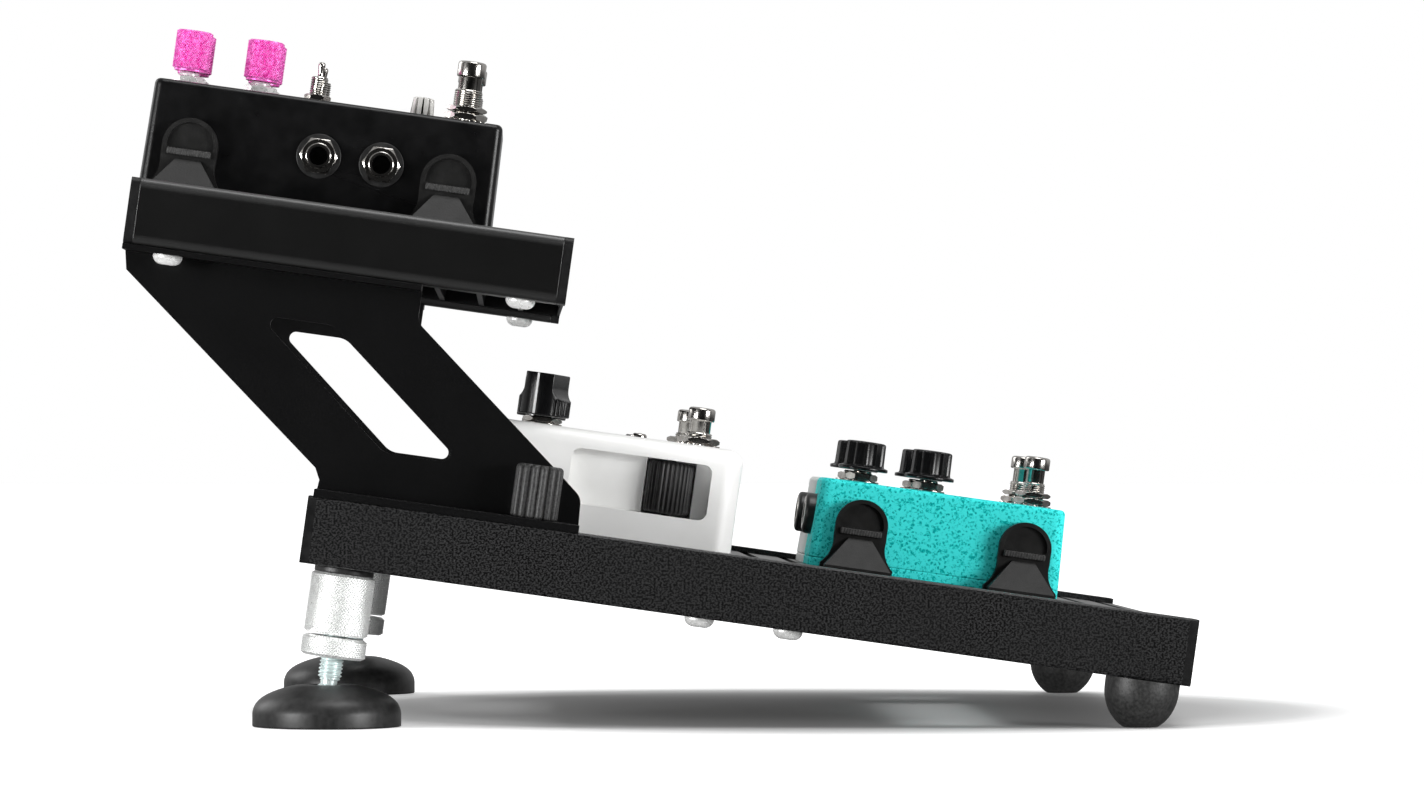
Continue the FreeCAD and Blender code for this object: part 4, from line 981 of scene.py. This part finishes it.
def make_camera():
    origin = DECK @ Vector((0, 0, 0))
    data = bpy.data.cameras.new("camera")
    camera = bpy.data.objects.new("camera", data)
    bpy.context.scene.collection.objects.link(camera)
    camera.location = (origin.x + EYE_ALONG * MM, (NEAR_FACE - FAR_DISTANCE) * MM, EYE_HEIGHT * MM)
    camera.rotation_euler = (math.radians(90), 0, 0)
    data.sensor_width = 36.0
    data.lens = LENS
    data.shift_x, data.shift_y = FRAMING
    data.clip_start = 0.01
    bpy.context.scene.camera = camera


FLOOR_REACH = 14.0
FLOOR_CENTRE_X = 0.065          # the middle of the board's shade
# How much the floor glows, by the distance in metres from the middle of the shade: painted light, kept low under the
# board so that it paints the board's shadow.
FLOOR_GLOW = ((0.14, 0.02), (0.17, 0.07), (0.215, 0.66), (0.80, 0.88))
# Its colour, by the same distance: a painted shadow, softly darker where the board's shade falls.
FLOOR_PAINTED_SHADOW = ((0.08, 0.44), (0.14, 0.56), (0.18, 0.82), (0.22, 0.93))


def make_floor():
    material = new_material("studio_floor", (0.93, 0.93, 0.93), 0.6)
    shader = material.node_tree.nodes["Principled BSDF"]
    away = add(material, "ShaderNodeVectorMath")
    away.operation = "LENGTH"
    link(material, add(material, "ShaderNodeTexCoord").outputs["Object"], away.inputs[0])
    # Glow and colour both drop towards the middle under the board: a painted shadow on the floor.
    glow = ramp(material, away.outputs["Value"], [(distance, grey(lit)) for distance, lit in FLOOR_GLOW])
    link(material, glow.outputs["Color"], shader.inputs["Emission Color"])
    shade = ramp(material, away.outputs["Value"], [(distance, grey(level)) for distance, level in FLOOR_PAINTED_SHADOW])
    link(material, shade.outputs["Color"], shader.inputs["Base Color"])
    shader.inputs["Emission Strength"].default_value = 1.0
    size = FLOOR_REACH
    mesh = bpy.data.meshes.new("studio_floor")
    mesh.from_pydata([(-size, -size, 0), (size, -size, 0), (size, size, 0), (-size, size, 0)], [], [(0, 1, 2, 3)])
    mesh.materials.append(material)
    floor = bpy.data.objects.new("studio_floor", mesh)
    floor.location = (FLOOR_CENTRE_X, 0, -0.0002)
    floor.visible_glossy = False
    bpy.context.scene.collection.objects.link(floor)


def area_light(name, place, aim, size, power, size_y=None):
    data = bpy.data.lights.new(name, "AREA")
    data.energy = power
    data.shape = "RECTANGLE"
    data.size = size
    data.size_y = size_y or size
    light = bpy.data.objects.new(name, data)
    light.location = place
    light.rotation_euler = (Vector(aim) - Vector(place)).to_track_quat("-Z", "Y").to_euler()
    bpy.context.scene.collection.objects.link(light)


def make_world():
    """A surround that is plain white to the camera, and darker where upright faces mirror it and below."""
    world = bpy.data.worlds.new("studio")
    world.use_nodes = True
    tree = world.node_tree
    coordinates = tree.nodes.new("ShaderNodeTexCoord")
    dot = tree.nodes.new("ShaderNodeVectorMath")
    dot.operation = "DOT_PRODUCT"
    dot.inputs[1].default_value = (0.0, -1.0, 0.0)
    tree.links.new(coordinates.outputs["Generated"], dot.inputs[0])
    shade = tree.nodes.new("ShaderNodeValToRGB")
    stops = [(0.02, 0.95), (0.10, 0.14), (0.24, 0.10), (0.30, 0.95), (0.52, 0.95), (0.62, 0.05), (1.0, 0.03)]
    elements = shade.color_ramp.elements
    while len(elements) < len(stops):
        elements.new(0.5)
    for element, (position, level) in zip(elements, stops):
        element.position = position
        element.color = (level, level, level, 1)
    tree.links.new(dot.outputs["Value"], shade.inputs["Fac"])
    seen = tree.nodes.new("ShaderNodeLightPath")
    plain_white = tree.nodes.new("ShaderNodeBackground")
    plain_white.inputs["Color"].default_value = (1, 1, 1, 1)
    plain_white.inputs["Strength"].default_value = 1.0
    mix = tree.nodes.new("ShaderNodeMixShader")
    background = tree.nodes["Background"]
    background.inputs["Strength"].default_value = 0.55
    split = tree.nodes.new("ShaderNodeSeparateXYZ")
    tree.links.new(coordinates.outputs["Generated"], split.inputs["Vector"])
    below = tree.nodes.new("ShaderNodeMapRange")
    for socket, value in (("From Min", -0.12), ("From Max", 0.02), ("To Min", 0.15), ("To Max", 1.0)):
        below.inputs[socket].default_value = value
    tree.links.new(split.outputs["Z"], below.inputs["Value"])
    dim = tree.nodes.new("ShaderNodeVectorMath")
    dim.operation = "SCALE"
    tree.links.new(shade.outputs["Color"], dim.inputs[0])
    tree.links.new(below.outputs["Result"], dim.inputs["Scale"])
    tree.links.new(dim.outputs["Vector"], background.inputs["Color"])
    tree.links.new(seen.outputs["Is Camera Ray"], mix.inputs["Fac"])
    tree.links.new(background.outputs["Background"], mix.inputs[1])
    tree.links.new(plain_white.outputs["Background"], mix.inputs[2])
    tree.links.new(mix.outputs["Shader"], tree.nodes["World Output"].inputs["Surface"])
    bpy.context.scene.world = world


def make_light():
    make_world()
    area_light("key", (0.3, -0.35, 1.7), (0, 0, 0.05), 0.9, 13)
    area_light("fill_left", (-1.6, -1.3, 0.24), (0, 0, 0.08), 0.9, 25, size_y=0.35)
    area_light("fill_right", (1.6, -1.3, 0.24), (0, 0, 0.08), 0.9, 25, size_y=0.35)
    area_light("rim", (-1.3, 0.7, 0.8), (0, 0, 0.1), 0.8, 6)
    bpy.context.scene.view_settings.view_transform = "Standard"


make_camera()
make_floor()
make_light()
